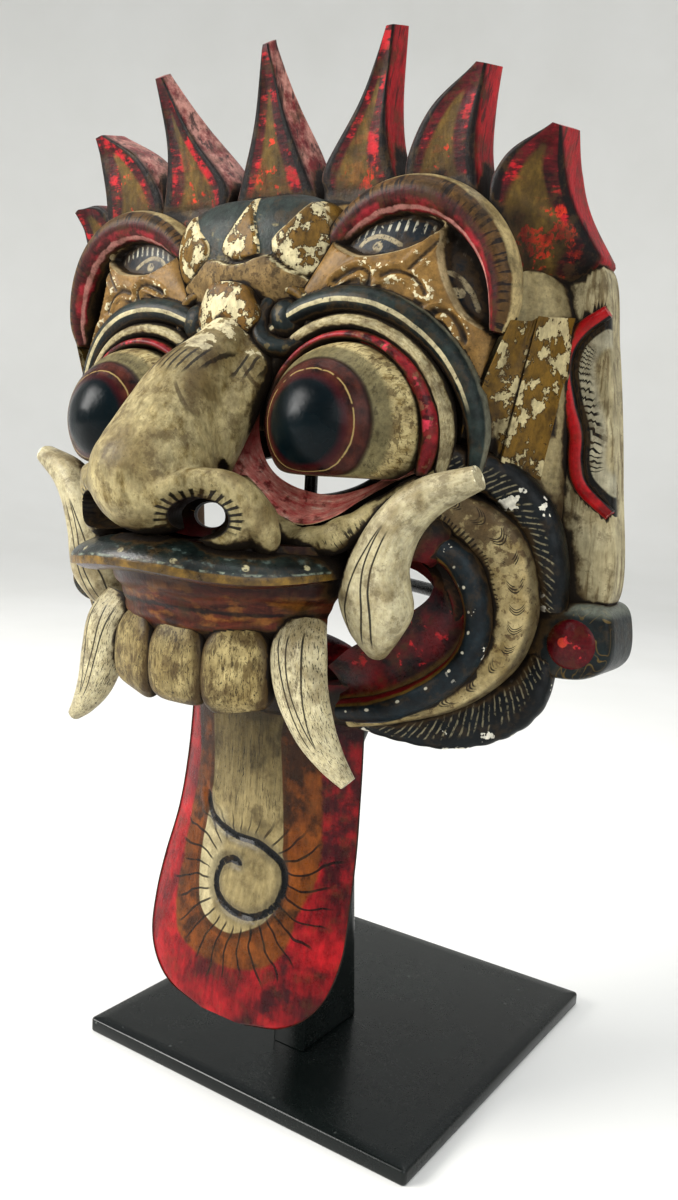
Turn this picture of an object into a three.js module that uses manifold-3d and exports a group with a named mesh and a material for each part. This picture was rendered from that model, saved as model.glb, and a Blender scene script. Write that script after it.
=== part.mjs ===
// A carved and painted dragon mask on its black steel stand.
// Millimetres, +Z up. The mask looks along -Y, its own left side is +X, the floor is z = 0.
// Stations are [x, y, z, half width, half depth]; the mask's pairs are made at +X and mirrored.
import * as THREE from 'three';
import Module from 'manifold-3d';

const wasm = await Module();
wasm.setup();

// Stand: base plate, flat post whose head leans back, and a welded cradle of rod
const PLATE = { wide: 160, deep: 165, tall: 6 };
const POST = {
  wide: 16,
  profile: [[-45, 0], [-5, 0], [-15, 95], [-18, 118], [-3, 138], [6, 146], [-6, 146], [-14, 136],
    [-45, 104]],
};
const ROD = { radius: 2.6, sides: 6, bend: 2 };
const ROD_PATH = [[0, 0, 152.6], [0, 0, 304], [0, -8, 318], [0, -40, 318], [0, -50, 304], [0, -50, 232]];
const ARM = { from: [0, 0, 205], to: [74, -46, 205] };
const FIT = 0.3;

// Wooden shell behind the face: half outline from crown to chin, then rows of [scale, y, share of bow]
const SHELL_OUTLINE = [[0, 342], [45, 342], [82, 333], [102, 312], [107, 285], [107, 235], [102, 195],
  [88, 171], [66, 160], [35, 157]];
const SHELL_CENTRE = [0, 250];
const SHELL_BOW = { rise: 22, reach: 100 };
const SHELL_ROWS = [[0.5, -88, 1], [0.9, -86, 1], [1, -76, 1], [0.97, -52, 0.5], [0.88, -14, 0],
  [0.82, -14, 0], [0.82, -44, 0], [0.66, -62, 0]];
const SHELL_STEPS = 22;

// Crest of seven flames: leading and trailing edge, each from its notch to the blunt tip
const FLAMES = [
  {
    leading: [[-19, 342], [-13.7, 353], [-6.5, 370], [-1, 392]],
    trailing: [[19, 342], [13.7, 353], [6.5, 370], [1, 392]],
  },
  {
    leading: [[21, 343], [22, 351], [38, 370], [48.5, 389]],
    trailing: [[52.5, 342], [48, 353], [47.5, 368], [51.5, 389]],
  },
  {
    leading: [[53, 341], [55, 351], [64, 364], [80, 374]],
    trailing: [[80.5, 339], [79.5, 351], [81, 362], [83.5, 373]],
  },
  {
    leading: [[84, 340], [86, 343.5], [92, 349], [105, 354]],
    trailing: [[113.5, 320], [107.5, 333], [106, 343], [107.5, 353]],
    lean: 0.75,
  },
];
const FLAME = { front: -91, back: -81, foot: 8, bevel: 2, inset: 0.12, root: 18, steps: 3 };
const CREST = { foot: 343, top: 390, tilt: 8 };

// Forehead: medallion with petals, pendant leaf and scrolls
const MEDALLION = {
  outline: [[0, 342], [18, 341], [28, 332], [28, 314], [16, 302]], y: -84, face: -97, step: 5, top: 0.82,
};
const PETALS = [[-18, 331], [0, 336], [18, 331]];
const PETAL = { foot: 312, half: 8, depth: 4, y: -97, gather: 0.8, waist: 0.7 };
const PENDANT = { at: [0, -101, 299], size: [12, 9, 17] };
const SCROLL = { at: [16, -97, 295], size: [9, 9, 9] };

// Brow arch, leaf below it, lids: arcs in the face plane, bent back toward the temple
const BROW = { at: [60, 303], radius: 34, from: 150, to: -14, y: -86, half: 6, depth: 8, bow: 10 };
const BROW_LEAF = {
  at: [48, 267], radius: 50, from: 148, to: 2, y: -88, half: 7.5, depth: 8, bow: 12, ribs: 5, rib: 2.2,
};
const LID_RIM = {
  at: [45, 264], radius: 32, from: 184, to: -24, spread: 4, y: -96, half: 3.4, depth: 6.5, bow: 8,
};
const LID_BAND = {
  at: [45, 265], radius: 38.5, from: 165, to: -18, spread: 7, y: -95, half: 5, depth: 6.5, bow: 11,
};
const EYE = {
  at: [47, 264],
  profile: [[24, -68], [26.5, -84], [27, -98], [24.8, -107.5], [18.6, -115.5], [10, -122.6]],
  tip: -125.5,
  floor: 247,
};
const SLIT = {
  outline: [[8, 250], [21, 243.7], [38, 241.5], [56, 245], [71, 255], [66, 259.5], [47, 253], [28, 251]],
  front: -135,
  back: -40,
};
const CHEEK = { at: [46, -88, 232], size: [34, 20, 20] };
const CHEEK_FOLD = [[22, -112, 240, 4, 5], [33, -113, 230.5, 5, 6], [44, -113, 226.5, 5.5, 7],
  [56, -110, 229, 5.5, 7], [69, -102, 238, 5, 6], [80, -91, 250, 3, 4]];

// Nose
const NOSE_RIDGE = [[0, -96, 297, 10, 8], [0, -110, 285, 12.5, 11], [0, -123, 272, 14, 14],
  [0, -130, 260.5, 17, 16], [0, -135, 250, 20, 19]];
const NOSE_FLANK = [[0, -90, 298, 14, 8], [0, -99, 285, 17, 10], [0, -108, 272, 18.5, 12],
  [0, -116, 260.5, 18, 14], [0, -122, 250, 17, 14]];
const NOSE_BALL = { at: [0, -137, 244], size: [20.5, 21, 19.5] };
const NOSE_WING = { at: [27, -130, 232], size: [11, 16, 12.5] };
const NOSTRIL = [[34, -154, 231, 9.5, 6.5], [21.5, -139, 231.5, 9.5, 6.5], [5, -118, 231.5, 7, 5.5],
  [-8.3, -100, 230.7, 6, 5], [-40, -62, 228.5, 6, 5], [-52, -48, 227.5, 6, 5]];

// Upper jaw: each plan curve is half an ellipse standing forward of the face
const JAW = {
  y: -96, wide: 46, deep: 34, rows: [[1.05, 224], [1, 210], [0.92, 198], [0.8, 186]], back: -76, steps: 8,
};
const LIP = { wide: 46, deep: 46, z: 217, drop: 3, half: 6.5, depth: 11, turn: 96, thin: 0.5, steps: 8 };
const TEETH = [-21.5, 0, 21.5];
const TOOTH = {
  wide: 44,
  deep: 23,
  stations: [[194, 9.5, 5.5], [188, 11.4, 7], [180, 11.8, 7.5], [172, 11.2, 6.5], [169, 9, 4.5]],
};
const FANG = [[41, -107, 199, 10, 6], [43, -112, 187, 10.5, 6.5], [46, -112, 175, 9, 6],
  [53, -111, 161, 6.5, 5], [63.5, -110, 150, 2.6, 2.8]];
const TUSK = [[60, -90, 190, 4, 4], [62, -96, 198, 9.5, 7], [63.5, -99, 206, 13, 8.5],
  [64.5, -101, 214, 11.5, 9], [66.5, -102, 222, 9.5, 8.5], [72, -102, 233, 7.6, 8], [81, -101, 242, 6.4, 7],
  [97, -99, 249, 3.6, 4.5]];

// Mouth: opening through the shell, the dish of each corner, lip loop, jaw skin, hair and beard
const MOUTH = { outline: [[0, 212], [38, 213], [58, 218], [69, 212], [70, 201], [60, 191], [40, 174]],
  centre: [0, 196], front: -130, back: -40, steps: 20 };
const DISH = { at: [64, -88, 199], size: [22, 20, 24] };
const LIP_LOOP = [[58, -92, 231, 2.5, 4], [70, -84, 229, 4.5, 6], [82, -76, 221, 5.5, 7],
  [88, -73, 206, 5, 7], [86.5, -74, 191, 5, 7], [77, -79, 179, 5, 7], [61, -84, 170, 5, 7],
  [44, -84, 166, 4, 6]];
const JAW_SKIN = [[70, -85, 241, 4, 5], [81, -76, 237, 7, 7], [92, -69, 227, 9, 8], [97, -67, 213, 8, 8],
  [97, -67, 201, 7.3, 8], [92, -68, 189, 7, 8], [79, -72, 177, 6.5, 8], [60, -77, 168, 5, 7],
  [44, -78, 163, 4, 6]];
const HAIR = {
  path: [[74, -90, 256, 4, 4], [83, -80, 253, 5.5, 6], [93, -70, 247.5, 6.5, 7], [102, -64, 236, 6.5, 7],
    [107, -62, 222, 5.5, 6], [107, -58, 208, 5, 5]],
  locks: 5,
};
const BEARD = {
  path: [[104, -54, 189, 5, 5], [99, -58, 177, 8.5, 6], [89, -62, 169, 9, 6], [76, -68, 163.5, 7.5, 6],
    [61, -73, 161.5, 5, 5], [46, -74, 162, 4, 4]],
  locks: 6,
};
const LOCK = { steps: 2, swell: 0.2, sides: 4 };

// Ear, earring and temple
const EAR = {
  outline: [[87, 312], [111, 320], [117, 293], [122, 251], [124, 211], [104, 209], [95, 240], [86, 269]],
  front: -54,
  back: -42,
  bevel: 2,
};
const EAR_FOLD = [[116, -53, 304, 2, 3], [106, -54, 294, 2.6, 4], [103, -54, 279, 2.6, 4],
  [109, -54, 263, 2.6, 4], [110, -54, 250, 2.6, 4], [122, -53, 240, 2, 3]];
const EARRING = {
  outline: [[98, 187], [96, 207], [112, 210], [124, 209.5], [127.5, 202], [127, 191], [119, 185],
    [106, 184]],
  front: -56,
  back: -36,
  bevel: 4,
};
const JEWEL = { at: [114.5, -54, 196.5], size: [8.5, 4.5, 8.5] };
const TEMPLE = {
  outline: [[101, 296], [90, 286], [80, 270], [91, 253], [102, 258]], front: -66, back: -52, peak: -78,
};

// Tongue: stations from root to tip as [y of the middle, z, half width, bow across]
const TONGUE = {
  stations: [[-56, 184, 33, 4], [-64, 190, 37, 6], [-73, 186, 39.5, 9], [-77, 170, 41, 9],
    [-77.5, 132, 42.5, 9], [-79, 110, 44, 9], [-83.5, 90, 46, 8.5], [-87, 74, 46.5, 7.5], [-90, 60, 43.5, 5],
    [-92, 50, 36.5, 3], [-92.5, 44, 27, 1], [-92.5, 40.5, 12, 0]],
  thick: 9,
  across: 6,
  steps: 12,
  roundness: 6,
};
const CURL = {
  at: [3, 93], from: 110, turns: 1.4, wide: 17, narrow: 5, half: 1.8, depth: 2.5, y: -82.5,
  lean: 0.22, steps: 12,
};

// Slimmest share of an arc at its ends, shrink of a board's face for each millimetre of bevel
const ENDS = 0.45;
const BEVEL_SHRINK = 0.04;
// Facets: points along an arc, then steps and sides of the carved sweeps
const ARC_POINTS = 9;
const COARSE = { steps: 3, sides: 6 };
const MEDIUM = { steps: 5, sides: 6 };
const LONG = { steps: 7 };
const SLENDER = { sides: 4 };
const SMALL_BALL = 8;
const NOSE_FACETS = { steps: 3, sides: 8, round: 14, rows: 7 };

const FRONT = [0, -1, 0];
const UP = [0, 0, 1];
const radians = THREE.MathUtils.degToRad;
const list = (length, make) => Array.from({ length }, (unused, i) => make(i));
const vector = (p) => new THREE.Vector3(p[0], p[1], p[2]);
const flip = (p) => [-p[0], ...p.slice(1)];

// Closed skin over rings of points, each end shut by a fan to its tip, faces turned outward
function skin(rings, tips = {}) {
  const sides = rings[0].length;
  const middle = (ring) => [0, 1, 2].map((axis) => ring.reduce((sum, p) => sum + p[axis], 0) / sides);
  const points = rings.flat();
  const faces = [];
  for (let row = 0; row + 1 < rings.length; row += 1) {
    for (let k = 0; k < sides; k += 1) {
      const a = row * sides + k;
      const b = row * sides + (k + 1) % sides;
      faces.push([a, b, b + sides], [a, b + sides, a + sides]);
    }
  }
  const first = points.push(tips.first ?? middle(rings[0])) - 1;
  const last = points.push(tips.last ?? middle(rings.at(-1))) - 1;
  const lastRow = (rings.length - 1) * sides;
  for (let k = 0; k < sides; k += 1) {
    const next = (k + 1) % sides;
    faces.push([first, next, k], [last, lastRow + k, lastRow + next]);
  }
  return outward({ points, faces });
}

function outward(body) {
  let volume = 0;
  for (const [a, b, c] of body.faces) {
    volume += vector(body.points[a]).dot(vector(body.points[b]).cross(vector(body.points[c])));
  }
  const faces = volume < 0 ? body.faces.map(([a, b, c]) => [a, c, b]) : body.faces;
  return { points: body.points, faces };
}

function mirrored(body) {
  return outward({ points: body.points.map(flip), faces: body.faces });
}

function pair(body) {
  return [body, mirrored(body)];
}

// Solid swept along a smooth line through stations, an ellipse across it
function sweep(stations, { steps = 7, sides = 5, front = FRONT } = {}) {
  const line = new THREE.CatmullRomCurve3(stations.map(vector));
  const sizes = new THREE.CatmullRomCurve3(stations.map((s) => new THREE.Vector3(s[3], s[4], 0)));
  const facing = vector(front);
  const rings = [];
  for (let i = 0; i <= steps; i += 1) {
    const at = line.getPoint(i / steps);
    const size = sizes.getPoint(i / steps);
    const along = line.getTangent(i / steps);
    const side = along.clone().cross(facing).normalize();
    const out = side.clone().cross(along);
    rings.push(list(sides, (k) => {
      const angle = 2 * Math.PI * k / sides;
      const p = at.clone().addScaledVector(side, size.x * Math.cos(angle));
      return p.addScaledVector(out, size.y * Math.sin(angle)).toArray();
    }));
  }
  return skin(rings);
}

// Stations of an arc in the face plane, thinning to its two ends and bent back toward the temple
function arc({ at, radius, from, to, spread = 0, y, half, depth, bow }, count = ARC_POINTS) {
  return list(count, (i) => {
    const t = i / (count - 1);
    const angle = radians(from + (to - from) * t);
    const swell = Math.sin(Math.PI * t);
    const reach = radius + spread * (1 - swell);
    const thin = ENDS + (1 - ENDS) * Math.sqrt(swell);
    const x = at[0] + reach * Math.cos(angle);
    const back = bow * Math.max(0, x / at[0] - 1) ** 2;
    return [x, y + back, at[1] + reach * Math.sin(angle), half * thin, depth * thin];
  });
}

// Outline in the face plane stacked in rows of [scale about the centre, y]
function plaque(outline, centre, rows, tips) {
  return skin(rows.map(([scale, y]) => outline.map(([x, z]) => [
    centre[0] + scale * (x - centre[0]),
    y,
    centre[1] + scale * (z - centre[1]),
  ])), tips);
}

function middleOf(outline) {
  return [0, 1].map((axis) => outline.reduce((sum, p) => sum + p[axis], 0) / outline.length);
}

// Flat carved board with a softened front edge
function board(outline, { front, back, bevel }) {
  const face = 1 - bevel * BEVEL_SHRINK;
  return plaque(outline, middleOf(outline), [[1, back], [1, front + bevel], [face, front]]);
}

// Turned solid about a line along Y, its underside cut flat at a floor
function turned({ at: [x, z], profile, tip, floor }, sides = 12) {
  const rings = profile.map(([radius, y]) => list(sides, (k) => {
    const angle = 2 * Math.PI * k / sides;
    return [x + radius * Math.cos(angle), y, Math.max(floor, z + radius * Math.sin(angle))];
  }));
  return skin(rings, { last: [x, tip, z] });
}

function ball({ at, size }, sides = 10, rows = 5) {
  const rings = [];
  for (let i = 1; i < rows; i += 1) {
    const lat = Math.PI * i / rows;
    rings.push(list(sides, (k) => {
      const angle = 2 * Math.PI * k / sides;
      return [
        at[0] + size[0] * Math.sin(lat) * Math.cos(angle),
        at[1] - size[1] * Math.cos(lat),
        at[2] + size[2] * Math.sin(lat) * Math.sin(angle),
      ];
    }));
  }
  const front = [at[0], at[1] - size[1], at[2]];
  const back = [at[0], at[1] + size[1], at[2]];
  return skin(rings, { first: front, last: back });
}

// Smooth closed outline through half of its points, mirrored about the middle line
function wholeOutline(half, steps) {
  const other = half.filter(([x]) => x > 0).reverse().map(flip);
  const points = [...half, ...other].map(([x, z]) => new THREE.Vector3(x, 0, z));
  const line = new THREE.CatmullRomCurve3(points, true);
  return line.getPoints(steps).slice(0, steps).map((p) => [p.x, p.z]);
}

function solid({ points, faces }) {
  const mesh = new wasm.Mesh({
    numProp: 3,
    vertProperties: new Float32Array(points.flat()),
    triVerts: new Uint32Array(faces.flat()),
  });
  return new wasm.Manifold(mesh);
}

const joined = (bodies) => bodies.map(solid).reduce((whole, piece) => whole.add(piece));
const carved = (body, cuts) => cuts.map(solid).reduce((whole, piece) => whole.subtract(piece), body);

function shell() {
  const outline = wholeOutline(SHELL_OUTLINE, SHELL_STEPS);
  const rings = SHELL_ROWS.map(([scale, y, share]) => outline.map(([x, z]) => {
    const across = scale * (x - SHELL_CENTRE[0]);
    const bow = SHELL_BOW.rise * share * (across / SHELL_BOW.reach) ** 2;
    return [SHELL_CENTRE[0] + across, y + bow, SHELL_CENTRE[1] + scale * (z - SHELL_CENTRE[1])];
  }));
  return skin(rings);
}

// Flame board in rows from its sunk root to its tip, its outer foot leaning back with the side of the head
function flame({ leading, trailing, lean = 0 }) {
  const edge = (points) => {
    const line = new THREE.SplineCurve(points.map(([x, z]) => new THREE.Vector2(x, z)));
    return line.getPoints(FLAME.steps);
  };
  const sunk = (p) => new THREE.Vector2(p.x, p.y - FLAME.root);
  const lefts = edge(leading);
  const rights = edge(trailing);
  const rows = [[sunk(lefts[0]), sunk(rights[0])], ...lefts.map((left, i) => [left, rights[i]])];
  const top = lefts.at(-1).y;
  const { front, back, foot, bevel, inset } = FLAME;
  return skin(rows.map(([left, right]) => {
    const corner = (share, y, foot = 0) => {
      const p = left.clone().lerp(right, share);
      const drop = THREE.MathUtils.clamp((CREST.top - p.y) / (CREST.top - CREST.foot), 0, 1);
      return [p.x, y + (CREST.tilt + foot) * drop + lean * share * Math.max(0, top - p.y), p.y];
    };
    const lead = [corner(0, back, foot), corner(0, front + bevel), corner(inset, front)];
    const trail = [corner(1 - inset, front), corner(1, front + bevel), corner(1, back, foot)];
    return [...lead, ...trail];
  }));
}

function crest() {
  return [flame(FLAMES[0]), ...FLAMES.slice(1).flatMap((side) => pair(flame(side)))];
}

function forehead() {
  const half = MEDALLION.outline;
  const outline = [...half, ...half.slice(1).reverse().map(flip)];
  const centre = middleOf(outline);
  const shield = plaque(outline, centre, [[1, MEDALLION.y], [1, MEDALLION.face + MEDALLION.step],
    [MEDALLION.top, MEDALLION.face]]);
  const petals = PETALS.map(([x, top]) => sweep([
    [x * PETAL.gather, PETAL.y, PETAL.foot, PETAL.half, PETAL.depth],
    [x, PETAL.y, (PETAL.foot + top) / 2, PETAL.half * PETAL.waist, PETAL.depth],
    [x, PETAL.y, top, 1, 1],
  ], { ...COARSE, ...SLENDER }));
  return [shield, ...petals, ball(PENDANT, SMALL_BALL), ...pair(ball(SCROLL, SMALL_BALL))];
}

function browRibs() {
  const stations = arc(BROW_LEAF, 2 * BROW_LEAF.ribs + 1);
  const swollen = stations.map((s, i) => {
    const share = i % 2 ? 1 : 0;
    return [s[0], s[1] - share * BROW_LEAF.rib, s[2], s[3], s[4]];
  });
  return sweep(swollen, { steps: 2 * BROW_LEAF.ribs, ...SLENDER });
}

function lids() {
  const bands = [BROW, LID_RIM, LID_BAND].map((band) => sweep(arc(band), LONG));
  return [...bands, browRibs()].flatMap(pair);
}

function eyeSlit() {
  const { outline, front, back } = SLIT;
  return plaque(outline, middleOf(outline), [[1, front], [1, back]]);
}

// Point of a plan ellipse standing forward of the upper jaw
function jawPoint(wide, deep, angle) {
  return [wide * Math.sin(angle), JAW.y - deep * Math.cos(angle)];
}

function jaw() {
  const rings = JAW.rows.map(([scale, z]) => {
    const bow = list(JAW.steps + 1, (k) => {
      const [x, y] = jawPoint(JAW.wide * scale, JAW.deep * scale, Math.PI * (k / JAW.steps - 0.5));
      return [x, y, z];
    });
    return [...bow, [JAW.wide, JAW.back, z], [-JAW.wide, JAW.back, z]];
  });
  return skin(rings);
}

function lip({ wide, deep, z, drop, half, depth, turn, thin, steps }) {
  const stations = list(steps + 1, (i) => {
    const share = 2 * i / steps - 1;
    const [x, y] = jawPoint(wide, deep, radians(turn * share));
    const slim = 1 - thin * share ** 4;
    return [x, y, z - drop * share ** 2, depth * slim, half * slim];
  });
  return sweep(stations, { ...LONG, front: UP });
}

function tooth(across) {
  const angle = Math.asin(across / TOOTH.wide);
  const [x, y] = jawPoint(TOOTH.wide, TOOTH.deep, angle);
  const facing = [Math.sin(angle) * TOOTH.deep, -Math.cos(angle) * TOOTH.wide, 0];
  const stations = TOOTH.stations.map(([z, half, depth]) => [x, y, z, half, depth]);
  return sweep(stations, { ...COARSE, front: facing });
}

function mouthCuts() {
  const outline = wholeOutline(MOUTH.outline, MOUTH.steps);
  const hole = plaque(outline, MOUTH.centre, [[1, MOUTH.front], [1, MOUTH.back]]);
  return [hole, ...pair(ball(DISH))];
}

// Band whose edge swells into locks along its length
function locks({ path, locks: count }) {
  const line = new THREE.CatmullRomCurve3(path.map(vector));
  const sizes = new THREE.CatmullRomCurve3(path.map((s) => new THREE.Vector3(s[3], s[4], 0)));
  const total = count * LOCK.steps;
  const stations = list(total + 1, (i) => {
    const size = sizes.getPoint(i / total);
    const swell = 1 + LOCK.swell * (i % LOCK.steps ? 1 : -1);
    return [...line.getPoint(i / total).toArray(), size.x, size.y * swell];
  });
  return sweep(stations, { steps: total, sides: LOCK.sides });
}

function sides() {
  const ear = board(EAR.outline, EAR);
  const fold = sweep(EAR_FOLD, SLENDER);
  const earring = board(EARRING.outline, EARRING);
  const middle = middleOf(TEMPLE.outline);
  const rows = [[1, TEMPLE.back], [1, TEMPLE.front]];
  const temple = plaque(TEMPLE.outline, middle, rows, { last: [middle[0], TEMPLE.peak, middle[1]] });
  return [ear, fold, earring, ball(JEWEL, SMALL_BALL), temple].flatMap(pair);
}

function tongue() {
  const { stations, thick, across, steps, roundness } = TONGUE;
  const line = new THREE.CatmullRomCurve3(stations.map(([y, z]) => new THREE.Vector3(0, y, z)));
  const sizes = new THREE.CatmullRomCurve3(stations.map((s) => new THREE.Vector3(s[2], s[3], 0)));
  const shares = list(across + 1, (k) => 2 * k / across - 1);
  const rings = list(steps + 1, (i) => {
    const at = line.getPoint(i / steps);
    const along = line.getTangent(i / steps);
    const { x: half, y: bow } = sizes.getPoint(i / steps);
    const inside = [-along.z, along.y];
    const row = (inward, share) => {
      const sink = bow * share ** 2 + inward;
      return [half * share, at.y + sink * inside[0], at.z + sink * inside[1]];
    };
    const face = shares.map((share) => row(0, share));
    const rear = shares.slice(1, -1).reverse().map((share) => row(thick * (1 - share ** roundness), share));
    return [...face, ...rear];
  });
  return skin(rings);
}

function curl() {
  const { at, from, turns, wide, narrow, half, depth, y, lean, steps } = CURL;
  const spiral = list(steps + 1, (i) => {
    const angle = radians(from) + 2 * Math.PI * turns * i / steps;
    const reach = wide + (narrow - wide) * i / steps;
    const rise = reach * Math.sin(angle);
    return [at[0] + reach * Math.cos(angle), y + lean * rise, at[1] + rise, half, depth];
  });
  return sweep(spiral, { steps, ...SLENDER });
}

function nose() {
  const { round, rows } = NOSE_FACETS;
  const bridge = [NOSE_RIDGE, NOSE_FLANK].map((stations) => sweep(stations, NOSE_FACETS));
  return [...bridge, ball(NOSE_BALL, round, rows), ...pair(ball(NOSE_WING))];
}

// Fangs, tusks, lip loops, jaw skin, hair and beard at both corners of the mouth
function mouthSides() {
  const teeth = [sweep(FANG, MEDIUM), sweep(TUSK, { ...MEDIUM, ...LONG })];
  const rims = [sweep(LIP_LOOP, LONG), sweep(JAW_SKIN, LONG)];
  return [...teeth, ...rims, locks(HAIR), locks(BEARD)].flatMap(pair);
}

function maskSolid() {
  const face = joined([shell(), ...pair(ball(CHEEK)), ...pair(sweep(CHEEK_FOLD)), ...lids()]);
  const opened = carved(face, [...mouthCuts(), ...pair(eyeSlit())]);
  const upper = [...crest(), ...forehead(), ...pair(turned(EYE)), ...nose()];
  const lower = [jaw(), lip(LIP), ...TEETH.map(tooth), ...mouthSides(), tongue(), curl()];
  const whole = [...upper, ...lower, ...sides()].map(solid).reduce((sum, piece) => sum.add(piece), opened);
  return carved(whole, pair(sweep(NOSTRIL, { ...COARSE, front: UP })));
}

// Base plate lying on the floor about the origin
function plate() {
  return new THREE.BoxGeometry(PLATE.wide, PLATE.deep, PLATE.tall).translate(0, 0, PLATE.tall / 2);
}

// Flat post cut to its side profile, stood on the plate
function post() {
  const shape = new THREE.Shape(POST.profile.map(([y, z]) => new THREE.Vector2(y, PLATE.tall + FIT + z)));
  const geometry = new THREE.ExtrudeGeometry(shape, { depth: POST.wide, bevelEnabled: false });
  const upright = new THREE.Matrix4().makeBasis(vector([0, 1, 0]), vector(UP), vector([1, 0, 0]));
  return geometry.translate(0, 0, -POST.wide / 2).applyMatrix4(upright);
}

// Bent rod that goes up behind the mask, over its inner ceiling and down, with two arms welded on
function cradle() {
  const round = (p) => [...p, ROD.radius, ROD.radius];
  const across = { steps: 1, sides: ROD.sides, front: UP };
  const arm = sweep([round(ARM.from), round(ARM.to)], across);
  const along = { steps: ROD.bend * (ROD_PATH.length - 1), sides: ROD.sides, front: [1, 0, 0] };
  return joined([sweep(ROD_PATH.map(round), along), ...pair(arm)]);
}

// Largest connected skin of a mesh: pockets closed in between carved pieces are filled with wood
function outerSkin(triangles, count) {
  const root = list(count, (i) => i);
  const find = (i) => {
    let at = i;
    while (root[at] !== at) {
      root[at] = root[root[at]];
      at = root[at];
    }
    return at;
  };
  const corners = list(triangles.length / 3, (i) => triangles.subarray(3 * i, 3 * i + 3));
  for (const [a, b, c] of corners) {
    root[find(a)] = find(b);
    root[find(b)] = find(c);
  }
  const sizes = new Map();
  for (const [a] of corners) {
    sizes.set(find(a), (sizes.get(find(a)) ?? 0) + 1);
  }
  const [largest] = [...sizes].reduce((best, next) => (next[1] > best[1] ? next : best));
  return corners.filter(([a]) => find(a) === largest).flatMap((corner) => [...corner]);
}

// Buffer geometry of a solid
function geometryOf(body) {
  const mesh = body.getMesh();
  const geometry = new THREE.BufferGeometry();
  geometry.setAttribute('position', new THREE.BufferAttribute(Float32Array.from(mesh.vertProperties), 3));
  geometry.setIndex(outerSkin(mesh.triVerts, mesh.numVert));
  geometry.computeVertexNormals();
  return geometry;
}

const paint = new THREE.MeshStandardMaterial({ color: 0x8a5f43, roughness: 0.6, metalness: 0 });
const steel = new THREE.MeshStandardMaterial({ color: 0x15191a, roughness: 0.45, metalness: 0.4 });

const object = new THREE.Group();
function put(name, geometry, material) {
  const mesh = new THREE.Mesh(geometry, material);
  mesh.name = name;
  object.add(mesh);
}
put('base_plate', plate(), steel);
put('post', post(), steel);
put('cradle', geometryOf(cradle()), steel);
put('mask', geometryOf(maskSolid()), paint);

export default object;
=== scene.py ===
"""Carved and painted dragon mask on its black steel stand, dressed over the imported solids."""
import math
import bpy
import numpy as np
from mathutils import Matrix, Vector
from mathutils.bvhtree import BVHTree
from mathutils.geometry import tessellate_polygon


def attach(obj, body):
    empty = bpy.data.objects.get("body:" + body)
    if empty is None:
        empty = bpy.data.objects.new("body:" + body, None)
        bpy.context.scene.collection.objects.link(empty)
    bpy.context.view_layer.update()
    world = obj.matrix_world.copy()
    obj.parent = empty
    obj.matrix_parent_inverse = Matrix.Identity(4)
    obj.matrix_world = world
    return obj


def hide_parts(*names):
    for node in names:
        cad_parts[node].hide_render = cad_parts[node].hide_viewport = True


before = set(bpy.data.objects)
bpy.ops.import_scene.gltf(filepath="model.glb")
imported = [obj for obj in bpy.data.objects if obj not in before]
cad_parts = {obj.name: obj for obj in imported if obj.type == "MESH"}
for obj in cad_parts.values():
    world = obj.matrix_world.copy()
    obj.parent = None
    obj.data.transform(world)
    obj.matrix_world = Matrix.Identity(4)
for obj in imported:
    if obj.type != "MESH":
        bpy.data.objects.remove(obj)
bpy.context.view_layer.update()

# Carver's sizes in millimetres: stations are x, y, z, half width, half depth on the mask's own left side
MM = 0.001
FRONT = np.array((0.0, -1.0, 0.0))
UP = np.array((0.0, 0.0, 1.0))
SIDEWAYS = np.array((1.0, 0.0, 0.0))
ENDS = 0.45
THINNEST = 0.2

SHELL_OUTLINE = ((0, 342), (45, 342), (82, 333), (102, 312), (107, 285), (107, 235), (102, 195), (88, 171),
                 (66, 160), (35, 157))
SHELL_CENTRE = np.array((0.0, 250.0))
# Rows of the shell: share of its outline, depth, and share of its bow
SHELL_BOW = 22
SHELL_ROWS = ((0.1, -88, 1), (0.5, -88, 1), (0.9, -86, 1), (1, -76, 1), (0.97, -52, 0.5), (0.88, -15, 0),
              (0.85, -13, 0), (0.82, -16, 0), (0.82, -44, 0), (0.66, -62, 0), (0.1, -64, 0))
# Flames: leading edge, trailing edge, lean, then how far back and how slim at the tip
FLAMES = (
    (((-19, 342), (-13.7, 353), (-6.5, 370), (-1.2, 392)),
     ((19, 342), (13.7, 353), (6.5, 370), (1.2, 392)), 0.0, 0.0, 0.5),
    (((21, 343), (22, 351), (38, 370), (48.5, 389)),
     ((52.5, 342), (48, 353), (47.5, 368), (51.5, 389)), 0.0),
    (((53, 341), (55, 351), (64, 364), (80, 374)),
     ((80.5, 339), (79.5, 351), (81, 362), (83.5, 373)), 0.0),
    (((84, 340), (86, 343.5), (92, 349), (105, 354)),
     ((113.5, 320), (107.5, 333), (106, 343), (107.5, 353)), 0.75),
)
FAR_FLAMES = (
    (((21, 343), (22, 351), (38, 370), (48.5, 389)),
     ((56, 342), (52, 353), (49.5, 368), (52, 389)), 0.0, 0.0, 0.5),
    (((53, 341), (55, 351), (65, 364), (82, 374)),
     ((86, 339), (85, 351), (85.5, 362), (86.5, 373)), 0.0),
    (((84, 338), (85.5, 344), (93, 350.5), (103.5, 350)),
     ((113, 318), (108, 330), (106.5, 340), (107, 348.5)), 0.4, 4.0),
)
CREST_FOOT = 343
CREST_TOP = 390
CREST_FRONT = -91
CREST_TILT = 8
PETALS = (((2, 341), (-1.5, 333), (-7, 323.5), (-2.3, 319), (3, 318.8), (8.8, 320.6), (5.5, 332)),
          ((27, 337.5), (20, 330), (14, 323.6), (18, 317.6), (26.6, 312.8), (32.5, 316), (34, 325),
           (31, 333)))
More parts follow.
